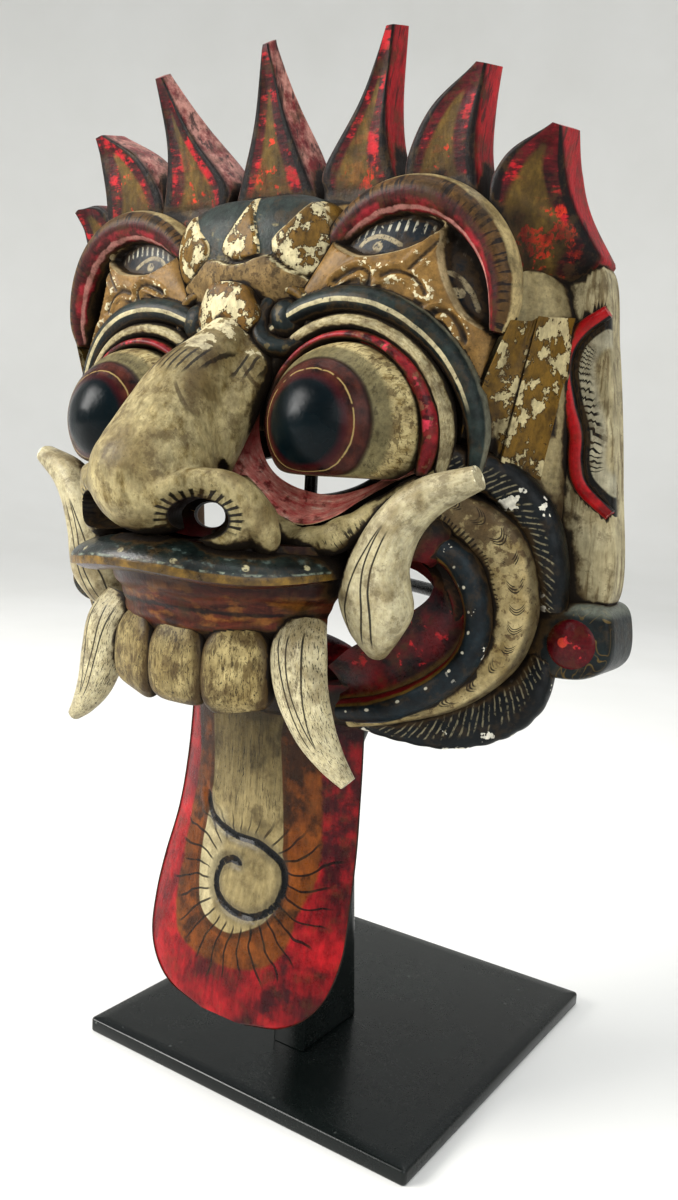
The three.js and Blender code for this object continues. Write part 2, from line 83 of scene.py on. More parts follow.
LENSES = (
    ((35.5, 324), (39, 329.5), (48.5, 332), (59.4, 332), (68, 329.8), (73.5, 326.5), (69, 322.3),
     (61.5, 319), (50, 317.6), (42.5, 319.2)),
    ((75, 326.5), (81, 322), (89.5, 311.7), (94, 303), (95.5, 293.5), (88.5, 295), (81.5, 300), (76, 310),
     (73.8, 319)),
)
LEAF_CURLS = (
    ((38.6, 309.8), (41.9, 311.7), (47.9, 313.5), (51.6, 311.5), (51.3, 308.4)),
    ((55.7, 310.9), (59.8, 312), (64.7, 311.2), (68.1, 308.8), (70.4, 305.3)),
    ((73, 299.1), (76.1, 300), (79, 298.2), (81.3, 294.7), (82.7, 291)),
    ((65.1, 312.8), (68.8, 316.6), (72.5, 320.7), (74.5, 324)),
)
LENS_MOTIFS = (
    ((43.9, 321.9), (46.3, 323.7), (50.6, 324.6), (54.9, 323.4), (58.9, 321.3)),
    ((49.5, 321.1), (50.7, 322.2), (51.9, 321.1), (50.7, 320), (49.5, 321.1)),
    ((75.9, 312.3), (79.2, 310), (82.3, 305.8), (84.3, 301)),
    ((77.2, 306), (78.4, 307.2), (79.6, 306), (78.4, 304.8), (77.2, 306)),
)
EYE_CENTRE = (47, 263)
EAR_OUTLINE = ((87, 312), (111, 320), (117, 293), (122, 251), (124, 211), (104, 209), (95, 240), (86, 269))
EAR_BAND = ((116, 304), (108.5, 299), (104.2, 293), (103.2, 285), (105.8, 274), (109, 265), (109.5, 256),
            (112.5, 248), (122.5, 239.5))
EARRING_OUTLINE = ((98, 187), (96, 207), (112, 210), (124, 209.5), (127.5, 202), (127, 191), (119, 185),
                   (106, 184))
# Teeth: the jaw's breadth and depth there, then for each station how far back, height, half width, half depth
TEETH_ARCH = (44, 23)
TOOTH_STATIONS = ((1, 197, 3, 2.5), (0.4, 195, 7.4, 4.4), (-0.2, 191.5, 10.4, 5.8),
                  (-0.7, 186.5, 12.4, 6.6), (-0.8, 179, 12.9, 6.8), (-0.4, 173, 12.6, 6.4),
                  (0.4, 169.6, 11.4, 5), (1, 168.4, 9, 3))
# Tongue: depth, height, half width and how far its sides fall back, then its painted fields from the front
TONGUE_STATIONS = ((-56, 184, 33, 4), (-64, 190, 37, 6), (-73, 186, 39.5, 9), (-77, 170, 41, 9),
                   (-77.5, 132, 42.5, 9), (-79, 110, 44, 9), (-83.5, 90, 46, 8.5), (-87, 74, 46.5, 7.5),
                   (-90, 60, 43.5, 5), (-92, 50, 36.5, 3), (-92.5, 44, 27, 1), (-92.5, 40.5, 12, 0))
TONGUE_IVORY = ((-24.3, 169.5), (-23.6, 149.6), (-21.4, 126.6), (-22.4, 110.2), (-23, 102.2), (-22.1, 93),
                (-20, 84.2), (-17.2, 77.2), (-10, 72.5), (-0.6, 71.3), (7.3, 74.3), (14.6, 79.4),
                (18.9, 87.6), (19.4, 94.9), (17, 103.2), (14.7, 119.3), (11.8, 147), (10.7, 170.2))
TONGUE_ORANGE = ((-35.6, 169.2), (-34.3, 148.4), (-32.1, 131.4), (-33.9, 107.5), (-32.7, 90.4),
                 (-32.4, 78.3), (-27.1, 64.4), (-12.5, 59.4), (5, 59.6), (15.8, 62.7), (24.1, 69.8),
                 (27.8, 86.3), (31.5, 99.7), (30.2, 123.3), (28.8, 137.9), (26.7, 170.4))
TONGUE_CURL = ((-24.1, 118.8), (-19.3, 110.9), (-7.6, 106.9), (4, 106.4), (12.5, 103.5), (17.9, 99.9),
               (19.3, 92.1), (16.6, 84.7), (8.1, 79.3), (-1.9, 79.6), (-8.4, 82.9), (-11.4, 88.1),
               (-10.3, 94.7), (-5.3, 97.9), (-1.7, 97))

# Stand: plate, post from the side, and the rod that bends over into the mask
PLATE_HALF = np.array((80.0, 82.5))
PLATE_CORNER = 2
PLATE_EDGE = ((6, 0.0), (1.0, 0.0), (0.3, 0.3), (0.0, 1.0), (0.0, 5.0), (0.3, 5.7), (1.0, 6.0), (6, 6.0))
POST_FOOT = 6.3
POST_EDGE = ((-8, 3.0), (-8, 1.0), (-7.7, 0.3), (-7, 0), (7, 0), (7.7, 0.3), (8, 1.0), (8, 3.0))
POST_PROFILE = ((-45, 0), (-5, 0), (-15, 95), (-18, 118), (-3, 138), (6, 146), (-6, 146), (-14, 136),
                (-45, 104))
ROD_RADIUS = 2.6
ROD_PATH = ((0, 0, 152.6), (0, 0, 304), (0, -8, 318), (0, -40, 318), (0, -50, 304), (0, -50, 232))
ARM_PATH = ((0, 0, 205), (37, -23, 205), (74, -46, 205))

# Rays that measure how shut in a point is
SOOT_RAYS = 11
SOOT_REACH = 16.0
SOOT_LIFT = 0.4
GOLDEN_TURN = 2.399963

# Camera: turn, tilt and roll in degrees, lens and sensor in millimetres, place in metres
CAMERA_TURNS = (33.836, 6.892, 3.3116)
CAMERA_LENS = 30.53
CAMERA_SENSOR = 36
CAMERA_AT = (0.235174, -0.376534, 0.246828)
LAMP_AIM = (0, -0.05, 0.22)

# Measures that the paints read at each point, and the finishes of the crest and the mouth
MEASURES = ("place", "mark", "wear")
CREST_PAINTS = ("flame", "brow", "leaf", "medallion", "pendant", "scroll", "scroll_rim", "jewel")
MOUTH_PAINTS = ("lip", "lip_loop", "gum", "tooth", "tusk", "fang", "mouth", "jaw_skin", "hair", "tongue")


def unit(v):
    return v / np.maximum(np.linalg.norm(v, axis=-1, keepdims=True), 1e-9)


def smooth(value, low, high):
    t = np.clip((value - low) / (high - low), 0, 1)
    return t * t * (3 - 2 * t)


def full_turn(sides):
    return np.linspace(0, 2 * np.pi, sides, endpoint=False)


def spline(points, count, closed=False):
    """Smooth line of count points through the given ones."""
    p = np.asarray(points, float)
    if closed:
        spans = len(p)
        t = np.arange(count) * spans / count
        p = np.vstack([p[-1:], p, p[:2]])
    else:
        spans = len(p) - 1
        t = np.linspace(0, spans, count)
        p = np.vstack([2 * p[0] - p[1], p, 2 * p[-1] - p[-2]])
    i = np.minimum(t.astype(int), spans - 1)
    f = (t - i)[:, None]
    a, b, c, d = p[i], p[i + 1], p[i + 2], p[i + 3]
    bend = 2 * b + (c - a) * f + (2 * a - 5 * b + 4 * c - d) * f ** 2
    return 0.5 * (bend + (3 * b - a - 3 * c + d) * f ** 3)


def mirrored_ring(half, count):
    """Closed outline from the half that starts on the middle line."""
    return spline([*half, *[(-x, z) for x, z in half[:0:-1] if x]], count, True)


def section(sides, square):
    """Shares across and out round an ellipse, squared up where square is under one."""
    turn = full_turn(sides)
    across, out = np.cos(turn), np.sin(turn)
    return np.sign(across) * np.abs(across) ** square, np.sign(out) * np.abs(out) ** square


def line_gap(points, line):
    """Distance of face plane points from an open line."""
    a, b = line[:-1], line[1:]
    run = b - a
    off = points[:, None] - a
    t = np.clip((off * run).sum(-1) / (run * run).sum(-1), 0, 1)
    return np.linalg.norm(off - t[..., None] * run, axis=-1).min(-1)


def depth_in(points, outline):
    """How far face plane points lie inside a closed outline, less than nought outside it."""
    ring = spline(outline, 90, True)
    ends = np.roll(ring, -1, 0)
    gap = line_gap(points, np.vstack([ring, ring[:1]]))
    x, z = points[:, :1], points[:, 1:]
    spans = (ring[:, 1] > z) != (ends[:, 1] > z)
    rise = np.where(ends[:, 1] == ring[:, 1], 1, ends[:, 1] - ring[:, 1])
    left = x < (ends[:, 0] - ring[:, 0]) * (z - ring[:, 1]) / rise + ring[:, 0]
    return np.where((spans & left).sum(-1) % 2 == 1, gap, -gap)


def nearest_gap(points, lines):
    return np.min([line_gap(points, spline(line, 24)) for line in lines], axis=0)


class Body:
    """A carved piece: points, triangles, where each point lies on it, painter's distances, and its finish."""

    def __init__(self, points, faces, place, paint, mark=None):
        self.points = points
        self.faces = faces
        self.place = place
        self.paint = paint
        self.mark = np.zeros_like(points) if mark is None else mark
        self.wear = None

    def mirrored(self):
        return Body(self.points * (-1, 1, 1), self.faces[:, ::-1], self.place, self.paint, self.mark)


def both(bodies):
    return [side for body in bodies for side in (body, body.mirrored())]


def joined(bodies):
    """Points and triangles of several bodies as one."""
    starts = np.cumsum([0, *[len(body.points) for body in bodies[:-1]]])
    points = np.vstack([body.points for body in bodies])
    return points, np.vstack([body.faces + start for body, start in zip(bodies, starts)])


def outward(points, faces):
    a, b, c = (points[faces[:, k]] for k in range(3))
    return faces if (a * np.cross(b, c)).sum() > 0 else faces[:, ::-1]


def strips(rows, columns, closed):
    """Triangles between neighbouring rows of points."""
    row = np.arange(rows - 1)[:, None] * columns
    k = np.arange(columns if closed else columns - 1)
    a = (row + k).ravel()
    b = (row + (k + 1) % columns).ravel()
    return np.vstack([np.stack([a, b, b + columns], -1), np.stack([a, b + columns, a + columns], -1)])


def loft(rings, place, paint):
    """Closed piece over rings of points, each end shut to its middle."""
    rows, sides = rings.shape[:2]
    points = np.vstack([rings.reshape(-1, 3), rings[0].mean(0), rings[-1].mean(0)])
    marks = np.vstack([place.reshape(-1, 3), place[0].mean(0), place[-1].mean(0)])
    k = np.arange(sides)
    after = (k + 1) % sides
    last = (rows - 1) * sides
    first_fan = np.stack([np.full(sides, rows * sides), after, k], -1)
    last_fan = np.stack([np.full(sides, rows * sides + 1), last + k, last + after], -1)
    faces = np.vstack([strips(rows, sides, True), first_fan, last_fan])
    return Body(points, outward(points, faces), marks, paint)


def sheet(grid, place, paint):
    """Open carved surface that faces forward."""
    rows, columns = grid.shape[:2]
    points = grid.reshape(-1, 3)
    faces = strips(rows, columns, False)
    a, b, c = (points[faces[:, k]] for k in range(3))
    forward = np.cross(b - a, c - a)[:, 1].sum() < 0
    return Body(points, faces if forward else faces[:, ::-1], place.reshape(-1, 3), paint)


def hollow(near, far, columns, depth, paint):
    """Open surface between two lines of points, hollowed by depth between them."""
    u = np.linspace(0, 1, len(near))[:, None]
    v = np.linspace(0, 1, columns)
    grid = near[:, None] * (1 - v)[:, None] + far[:, None] * v[:, None]
    grid[..., 1] += depth * np.sin(np.pi * v)
    return sheet(grid, np.stack(np.broadcast_arrays(u, v[None], 0 * u), -1), paint)


def sweep(stations, paint, steps=40, sides=20, front=FRONT, square=1.0, relief=None):
    """Piece swept along a smooth line, an ellipse or squared ellipse across it."""
    line = spline(stations, steps)
    at, size = line[:, :3], np.maximum(line[:, 3:5], THINNEST)
    along = unit(np.gradient(at, axis=0))
    side = unit(np.cross(along, front))
    out = np.cross(side, along)
    c, n = section(sides, square)
    t = np.linspace(0, 1, steps)[:, None]
    grow = 1.0 if relief is None else 1 + relief(t, c[None], n[None])
    wide = size[:, :1] * c * grow
    deep = size[:, 1:2] * n * grow
    rings = at[:, None] + side[:, None] * wide[..., None] + out[:, None] * deep[..., None]
    place = np.stack(np.broadcast_arrays(t, c[None], n[None]), -1)
    return loft(rings, place, paint)


def arc(at, radius, start, end, y, half, depth, bow, spread=0, count=15):
    """Stations of an arc in the face plane, thinning to its ends and bent back toward the temple."""
    t = np.linspace(0, 1, count)
    angle = np.radians(start + (end - start) * t)
    swell = np.sin(np.pi * t)
    reach = radius + spread * (1 - swell)
    thin = ENDS + (1 - ENDS) * np.sqrt(np.maximum(swell, 0))
    x = at[0] + reach * np.cos(angle)
    back = y + bow * np.maximum(0, x / at[0] - 1) ** 2
    return np.stack([x, back, at[1] + reach * np.sin(angle), half * thin, depth * thin], -1)


def ball(at, size, paint, sides=36, rows=20):
    lat = np.linspace(0, np.pi, rows)[1:-1, None]
    turn = full_turn(sides)
    lay = np.broadcast_arrays(np.sin(lat) * np.cos(turn), -np.cos(lat), np.sin(lat) * np.sin(turn))
    lay = np.stack(lay, -1)
    return loft(np.array(at) + lay * np.array(size), lay, paint)


def turned(at, profile, paint, sides=72, steps=60):
    """Piece turned about a line along Y; its place holds the radius and how far forward it is."""
    line = spline(profile, steps)
    turn = full_turn(sides)
    radius, y = line[:, :1], line[:, 1:]
    lay = np.broadcast_arrays(at[0] + radius * np.cos(turn), y, at[1] + radius * np.sin(turn))
    place = np.broadcast_arrays(radius, -y, turn[None])
    return loft(np.stack(lay, -1), np.stack(place, -1), paint)


def board(outline, front, back, bevel, paint, count=110, rise=0.0):
    """Flat carved board with a rounded front edge; its place holds the share from the middle."""
    ring = spline(outline, count, True)
    centre = ring.mean(0)
    inset = 0.035 * bevel
    turn = np.linspace(0, np.pi / 2, 7)
    edge = [(1 - inset * (1 - math.cos(a)), front + bevel * (1 - math.sin(a))) for a in turn]
    inner = [(s, front - rise * (1 - s)) for s in np.linspace(1 - inset, 0.03, 16)[1:]]
    side = [(1, y) for y in np.linspace(back - 1, front + bevel, 4)]
    rows = np.array([(0.9, back), (1, back - 0.5), *side, *edge, *inner])
    flat = centre + rows[:, None, :1] * (ring - centre)
    y = np.broadcast_to(rows[:, 1:], flat.shape[:2])
    lay = np.stack([flat[..., 0], y, flat[..., 1]], -1)
    place = np.stack(np.broadcast_arrays(rows[:, :1], y - front, np.zeros(count)[None]), -1)
    return loft(lay, place, paint)


def corners(outline, count):
    """Points along a straight-sided outline."""
    p = np.array([*outline, outline[0]], float)
    t = np.linspace(0, len(outline), count, endpoint=False)
    i = t.astype(int)
    return p[i] + (t - i)[:, None] * (p[i + 1] - p[i])


def stand_in(body):
    mesh = bpy.data.meshes.new("blank")
    mesh.from_pydata(body.points.tolist(), [], body.faces.tolist())
    holder = bpy.data.objects.new("blank", mesh)
    bpy.context.scene.collection.objects.link(holder)
    return holder


def shaped(holder):
    """Points and triangles of a blank once its modifiers are done; the blank goes."""
    graph = bpy.context.evaluated_depsgraph_get()
    mesh = bpy.data.meshes.new_from_object(holder.evaluated_get(graph))
    mesh.calc_loop_triangles()
    points = np.empty(3 * len(mesh.vertices))
    mesh.vertices.foreach_get("co", points)
    faces = np.empty(3 * len(mesh.loop_triangles), int)
    mesh.loop_triangles.foreach_get("vertices", faces)
    bpy.data.meshes.remove(mesh)
    return points.reshape(-1, 3), faces.reshape(-1, 3)


def clear(holders):
    for holder in holders:
        mesh = holder.data
        bpy.data.objects.remove(holder)
        bpy.data.meshes.remove(mesh)


def cut(body, cutters):
    """The body with the cutters taken out of it."""
    blanks = [stand_in(piece) for piece in (body, *cutters)]
    for blank in blanks[1:]:
        step = blanks[0].modifiers.new("cut", "BOOLEAN")
        step.operation = "DIFFERENCE"
        step.solver = "EXACT"
        step.object = blank
    points, faces = shaped(blanks[0])
    clear(blanks)
    return Body(points, faces, np.zeros_like(points), body.paint)


def neighbours(faces):
    edge = np.vstack([faces[:, (0, 1)], faces[:, (1, 2)], faces[:, (2, 0)]])
    return np.vstack([edge, edge[:, ::-1]])


def mean_by(owner, values, count):
    """Mean of the rows of values that each of count points owns."""
    total = np.zeros((count, values.shape[1]))
    owned = np.zeros(count)
    np.add.at(total, owner, values)
    np.add.at(owned, owner, 1)
    return total / np.maximum(owned, 1)[:, None]


def around(values, edge):
    """Mean of each point's neighbours."""
    return mean_by(edge[:, 0], values[edge[:, 1]], len(values))


def melt(bodies, voxel, rounds):
    """Bodies run into one smooth form."""
    points, faces = joined(bodies)
    whole = stand_in(Body(points, faces, points, ""))
    step = whole.modifiers.new("melt", "REMESH")
    step.mode = "VOXEL"
    step.voxel_size = voxel
    points, faces = shaped(whole)
    clear([whole])
    edge = neighbours(faces)
    for _ in range(rounds):
        points = 0.5 * points + 0.5 * around(points, edge)
    return Body(points, faces, np.zeros_like(points), bodies[0].paint)


# Shell with the mouth, its corners and the eye slits cut through
def shell_outline():
    return mirrored_ring(SHELL_OUTLINE, 170) - SHELL_CENTRE


def shell():
    rows = spline(SHELL_ROWS, 46)
    flat = rows[:, None, :1] * shell_outline()
    y = rows[:, 1:2] + SHELL_BOW * rows[:, 2:] * (flat[..., 0] / 100) ** 2
    rings = np.stack([flat[..., 0], y, flat[..., 1] + SHELL_CENTRE[1]], -1)
    return loft(rings, np.zeros_like(rings), "wood")


def shell_place(points):
    """Share of the shell's outline, and depth and breadth in tenths of a metre."""
    outline = shell_outline()
    order = np.argsort(np.arctan2(outline[:, 1], outline[:, 0]))
    angle = np.arctan2(outline[order, 1], outline[order, 0])
    far = np.linalg.norm(outline[order], axis=1)
    off = points[:, (0, 2)] - SHELL_CENTRE
    reach = np.interp(np.arctan2(off[:, 1], off[:, 0]), angle, far, period=2 * np.pi)
    share = np.linalg.norm(off, axis=1) / reach
    return np.stack([share, points[:, 1] / 100, np.abs(points[:, 0]) / 100], -1)


def through(ring, near, far, slant=0.0, pivot=0.0):
    """Straight cutter with the ring's outline, slanted sideways about the depth of its pivot."""
    rings = []
    for y in (near, far):
        rings.append(np.stack([ring[:, 0] - slant * (y - pivot), np.full(len(ring), y), ring[:, 1]], -1))
    rings = np.array(rings)
    return loft(rings, rings, "")


def mouth_cutters():
    half = ((0, 212), (38, 213), (58, 218), (69, 212), (70, 201), (60, 191), (40, 174))
    opening = through(mirrored_ring(half, 80), -130.0, -40.0)
    return [opening, *both([ball((64, -88, 199), (22, 20, 24), "")])]


def eye_slits():
    """Cutters for the gap under each eye, slanted so that daylight shows through it."""
    outline = ((8, 250), (15, 245), (21, 242.2), (30, 240.4), (38, 240), (47, 241.4), (56, 244.4),
               (64, 249), (71, 255), (66, 259.5), (56, 256), (47, 253), (38, 251), (28, 251), (17, 252.5))
    return both([through(spline(outline, 60, True), -135.0, -40.0, slant=0.74, pivot=-97)])


# Crest, forehead and eyes
def flame(leading, trailing, lean, back=0.0, slim=0.0):
    """Dished flame between its two edges, its root sunk into the shell."""
    root = 0.18
    t = np.linspace(0, 1, 52)[:, None]
    up = np.clip((t - root) / (1 - root), 0, 1)
    rows = spline(np.column_stack([leading, trailing]), 200)[np.round(up[:, 0] * 199).astype(int)]
    sink = np.minimum(t - root, 0)
    tuck = 110 if trailing[0][1] < leading[0][1] - 8 else 0
    left, right = rows[:, :2] + sink * (0, 100), rows[:, 2:] + sink * (tuck, 100)
    c, n = section(64, 0.3)
    flat = (left[:, None] * (1 - c)[:, None] + right[:, None] * (1 + c)[:, None]) / 2
    dish = 1.8 * np.cos(np.clip(c, -1, 1) * np.pi / 2) ** 0.7 * (n > 0.8) * np.minimum(1, 5 * (1 - up))
    drop = np.clip((CREST_TOP - flat[..., 1]) / (CREST_TOP - CREST_FOOT), 0, 1)
    thick = (10 + 8 * drop) * (1 - slim * smooth(up, 0.45, 1))
    rear = (1 - n) / 2
    y = back + CREST_FRONT + CREST_TILT * drop + thick * rear + dish
    y = y + lean * (1 + c) / 2 * np.maximum(0, leading[-1][1] - flat[..., 1])
    middle = leading[0][0] < 0
    splay = np.where((c < 0) | middle, c, 0) * (2.5 if middle else 5) * np.sin(np.pi * up) * rear
    rings = np.stack([flat[..., 0] + splay, y, flat[..., 1] + 3.2 * up * rear], -1)
    place = np.stack(np.broadcast_arrays(up, c[None], n[None]), -1)
    return loft(rings, place, "flame")


def medallion():
    half = ((0, 342), (18, 341.5), (31, 336), (36, 324), (31, 309), (20, 301), (0, 299))
    outline = mirrored_ring(half, 168)
    centre = np.array((0.0, 320.0))
    rows = spline(((1, -78), (1, -86), (0.97, -90), (0.88, -94), (0.6, -98), (0.3, -99.5), (0.04, -100)), 56)
    flat = centre + rows[:, None, :1] * (outline - centre)
    across = np.abs(flat[..., 0])
    edge = np.interp(across, (0, 4, 8, 13, 18.6, 30), (317.6, 317.8, 319.2, 320, 315.8, 311))
    low = smooth(edge - flat[..., 1], 0, 1.2)
    plane = flat.reshape(-1, 2)
    middle_petal, side_petal = PETALS
    petal = np.max([depth_in(plane, middle_petal), depth_in(plane, side_petal),
                    depth_in(plane * (-1, 1), side_petal)], axis=0)
    front = smooth(-rows[:, :1], -1, -0.9)
    rise = 2.2 * low + 1.3 * smooth(petal, -0.5, 0.9).reshape(low.shape)
    y = np.broadcast_to(rows[:, 1:], low.shape) - rise * front
    place = np.stack(np.broadcast_arrays(rows[:, :1], low, flat[..., 0] / 28), -1)
    body = loft(np.stack([flat[..., 0], y, flat[..., 1]], -1), place, "medallion")
    body.mark[:len(petal), 0] = petal
    return body


def forehead():
    drop = ((-7, 311), (5, 310), (9.5, 305), (12.5, 299), (9, 293), (0, 289), (-9, 292), (-13.5, 298),
            (-11.5, 306))
    pendant = board(drop, front=-105, back=-90, bevel=3, paint="pendant", count=90, rise=3.0)
    rim = arc((18.5, 298), radius=10.5, start=-70, end=215, y=-93, half=3, depth=5.5, bow=0)
    socket = sweep(rim, "scroll_rim", steps=44, sides=16)
    pit = ball((18, -88, 297.5), (11, 6, 11), "scroll", sides=30, rows=16)
    knob = ball((19.5, -95, 298.5), (7, 6.5, 7.2), "scroll", sides=34, rows=20)
    curl = ((15, -92, 309, 2.2, 3), (11.5, -95, 303, 3, 5), (11, -97, 296, 3.6, 6),
            (14.5, -98, 290.5, 3.8, 6.5), (21, -97, 288.5, 3.6, 6), (27, -95, 291, 2.6, 4.5))
    hook = sweep(curl, "scroll", steps=54, sides=18)
    return [medallion(), pendant, *both([socket, pit, knob, hook])]


def brow_panel():
    u = np.linspace(0, 1, 112)[:, None]
    v = np.linspace(0, 1, 42)
    low = np.radians(146 - 160 * u)
    high = np.radians(172 - 190 * u)
    x = (45 + 39 * np.cos(low)) * (1 - v) + (60 + 33 * np.cos(high)) * v
    z = (265 + 39 * np.sin(low)) * (1 - v) + (303 + 31 * np.sin(high)) * v
    flat = np.stack([x, z], -1).reshape(-1, 2)
    lens = np.max([depth_in(flat, lobe) for lobe in LENSES], axis=0)
    curls = nearest_gap(flat, LEAF_CURLS)
    motif = nearest_gap(flat, LENS_MOTIFS)
    bow = 13 * np.maximum(0, x / 46 - 1) ** 2
    swell = 2.0 * np.sin(np.pi * v) - 2.5 * v + 0 * u
    leaf = 96 + swell.ravel() - 0.9 * smooth(-curls, -1.3, 0) + 0.8 * smooth(-np.abs(curls - 2.2), -1.2, 0)
    y = bow.ravel() - leaf + 5.5 * smooth(lens, -0.8, 1.2)
    grid = np.stack([x.ravel(), y, z.ravel()], -1).reshape(*x.shape, 3)
    place = np.stack(np.broadcast_arrays(u, v[None], x / 100), -1)
    body = sheet(grid, place, "leaf")
    body.mark = np.stack([lens, curls, motif], -1)
    return body


def lids():
    brow = arc((60, 303), radius=34, start=158, end=-16, y=-87, half=6.4, depth=8.5, bow=10)
    band = arc((45, 265), radius=38.5, start=165, end=-18, y=-95, half=5, depth=6.5, bow=11, spread=7)
    rim = arc((45, 264), radius=32.8, start=184, end=-24, y=-95, half=3.2, depth=6, bow=8, spread=4)
    ring = arc((46, 263.5), radius=28.6, start=188, end=-28, y=-96.5, half=2.1, depth=5.6, bow=7, spread=3)
    ring[:, 3] *= np.interp(np.linspace(0, 1, len(ring)), (0, 0.55, 0.85, 1), (1.1, 1.0, 1.9, 2.4))
    return [sweep(brow, "brow", steps=90, sides=26), sweep(band, "lid_band", steps=90, sides=26),
            sweep(rim, "lid_rim", steps=84, sides=20), sweep(ring, "lid_red", steps=76, sides=18)]


def eye():
    profile = ((24, -66), (26.5, -84), (27.2, -95), (26.6, -102), (24.8, -107.5), (22, -111.5),
               (18.6, -115.5), (14.4, -119.4), (10, -122.6), (4, -125.1), (0.3, -125.6))
    x, z = EYE_CENTRE
    body = turned(EYE_CENTRE, profile, "eye", sides=84, steps=70)
    radius, forward = body.place[:, :2].T
    step = smooth(forward, 113.6, 114.6) - smooth(forward, 117.5, 119)
    away = unit((body.points - (x, 0, z)) * (1, 0, 1))
    points = body.points + away * (0.6 * step * (radius > 2))[:, None]
    low = np.maximum(0, z - points[:, 2])
    points[:, 2] += low - low / (1 + (low / 16.4) ** 8) ** 0.125
    body.points = points
    return body


def lower_lid():
    near = spline(((16, -99, 284), (12, -99, 268), (12.5, -98, 256), (17.5, -97, 247.4), (28.5, -97, 242.3),
                   (43.3, -97, 240.8), (56.8, -96, 244.6), (65, -94, 250), (72, -91, 255.5),
                   (77, -88, 262)), 96)
    far = spline(((14, -103, 285), (5, -105, 264), (3, -105, 249.2), (11.5, -106, 243.4), (21, -107, 237.4),
                  (31.5, -107, 231.5), (40.3, -107, 230.7), (50.5, -106.5, 234), (58.5, -104, 239.7),
                  (67, -99, 245.9), (75.5, -95, 251), (80, -90, 259)), 96)
    return hollow(near, far, columns=26, depth=1.6, paint="trough")


def cheeks():
    def plump(t, c, n):
        return 0.06 * np.sin(t * 46 + c) * (n > 0.2)

    stations = ((10, -103, 244, 2, 4), (18, -105, 237, 3.2, 5.5), (27.5, -105.5, 229, 4.4, 6.5),
                (39, -105.5, 224.8, 5.2, 7), (50.5, -104.5, 227.6, 5.4, 7), (61, -100, 234.5, 4.8, 6.5),
                (70, -95, 242.5, 3.8, 5.5), (78, -88, 250, 2.6, 4))
    return sweep(stations, "fold", steps=70, sides=26, relief=plump)


# Nose, mouth and tusks
def nostrils():
    stations = ((34, -154, 231, 9.5, 6.5), (21.5, -139, 231.5, 9.5, 6.5), (5, -118, 231.5, 7, 5.5),
                (-8.3, -100, 230.7, 6, 5), (-40, -62, 228.5, 6, 5), (-52, -48, 227.5, 6, 5))
    return both([sweep(stations, "", steps=40, sides=28, front=UP)])


def nose():
    ridge = ((0, -96, 297, 8, 8), (0, -109, 285, 10.5, 10), (0, -122.5, 272, 13.5, 14),
             (0, -130, 260.5, 17, 16), (0, -135, 250, 19.5, 19))
    flank = ((0, -90, 298, 14, 8), (0, -99, 285, 17, 10), (0, -108, 272, 18.5, 12),
             (0, -116, 260.5, 18, 14), (0, -122, 250, 17, 14))
    rim = ((8, -150, 237, 1.5, 3), (12, -149, 239, 2.6, 4), (17, -146.5, 241.5, 3.4, 4.5),
           (23, -140.5, 243.5, 3.8, 5), (30, -134, 242, 4.4, 5.5), (35.5, -128, 235, 4.8, 6),
           (37, -124, 227, 4.6, 5), (34, -121, 222, 4, 4))
    middle = [sweep(line, "nose", steps=36, sides=32) for line in (ridge, flank)]
    tip = ball((0, -137, 244), (20.5, 21, 19.5), "nose", sides=48, rows=30)
    wing = ball((25.5, -127, 232), (10, 15, 12), "nose", sides=40, rows=24)
    sides = both([wing, sweep(rim, "nose", steps=48, sides=18)])
    body = cut(melt([*middle, tip, *sides], voxel=1.0, rounds=3), nostrils())
    x, y, z = body.points.T
    across = ((np.abs(x) - 21.5) * 0.73 + (y + 139) * 0.68) / 9.5
    rise = (z - 231.5) / 6.5
    turn = np.arctan2(across, rise) / np.pi
    body.place = np.stack([turn, np.hypot(across, rise), smooth(-y, 100, 118)], -1)
    return body


def jaw_line(wide, deep, angle):
    return np.stack([wide * np.sin(angle), -96 - deep * np.cos(angle)], -1)


def gum():
    angle = np.linspace(-np.pi / 2, np.pi / 2, 72)
    rows = spline(((50, 40, 224), (49, 38, 214), (47, 34.5, 207), (44.5, 31.5, 203), (43.2, 30.5, 199),
                   (42, 29.5, 195), (39.5, 26, 190), (36, 21, 184)), 34)
    rings = []
    for wide, deep, z in rows:
        ripple = 0.3 * np.sin(z * 1.1 + np.sin(angle * 7) * 1.3)
        face = jaw_line(wide + ripple, deep + ripple, angle)
        rear = jaw_line(wide - 8, deep - 9, angle[::-1])
        ring = np.vstack([face, rear])
        rings.append(np.column_stack([ring, np.full(len(ring), z)]))
    rings = np.array(rings)
    place = np.zeros_like(rings)
    place[..., 0] = np.linspace(0, 1, len(rows))[:, None]
    place[:, :len(angle), 1] = np.sin(angle)
    return loft(rings, place, "gum")


def lip():
    share = np.linspace(-1, 1, 17)
    angle = np.radians(98 * share)
    flat = jaw_line(46, 45.5, angle)
    slim = 1 - 0.5 * share ** 4
    wave = 1.3 * np.cos(share * np.pi * 2.2)
    line = np.column_stack([flat, 218 - 1.5 * share ** 2 + wave, 10.5 * slim, 6 * slim])
    body = sweep(line, "lip", steps=110, sides=36, front=UP, square=0.85)
    c, n = body.place[:, 1:].T
    bill = smooth(c, -0.4, 1.0)
    body.points[:, 2] -= 2.2 * bill * (n > -0.3) + 0.6 * bill
    return body


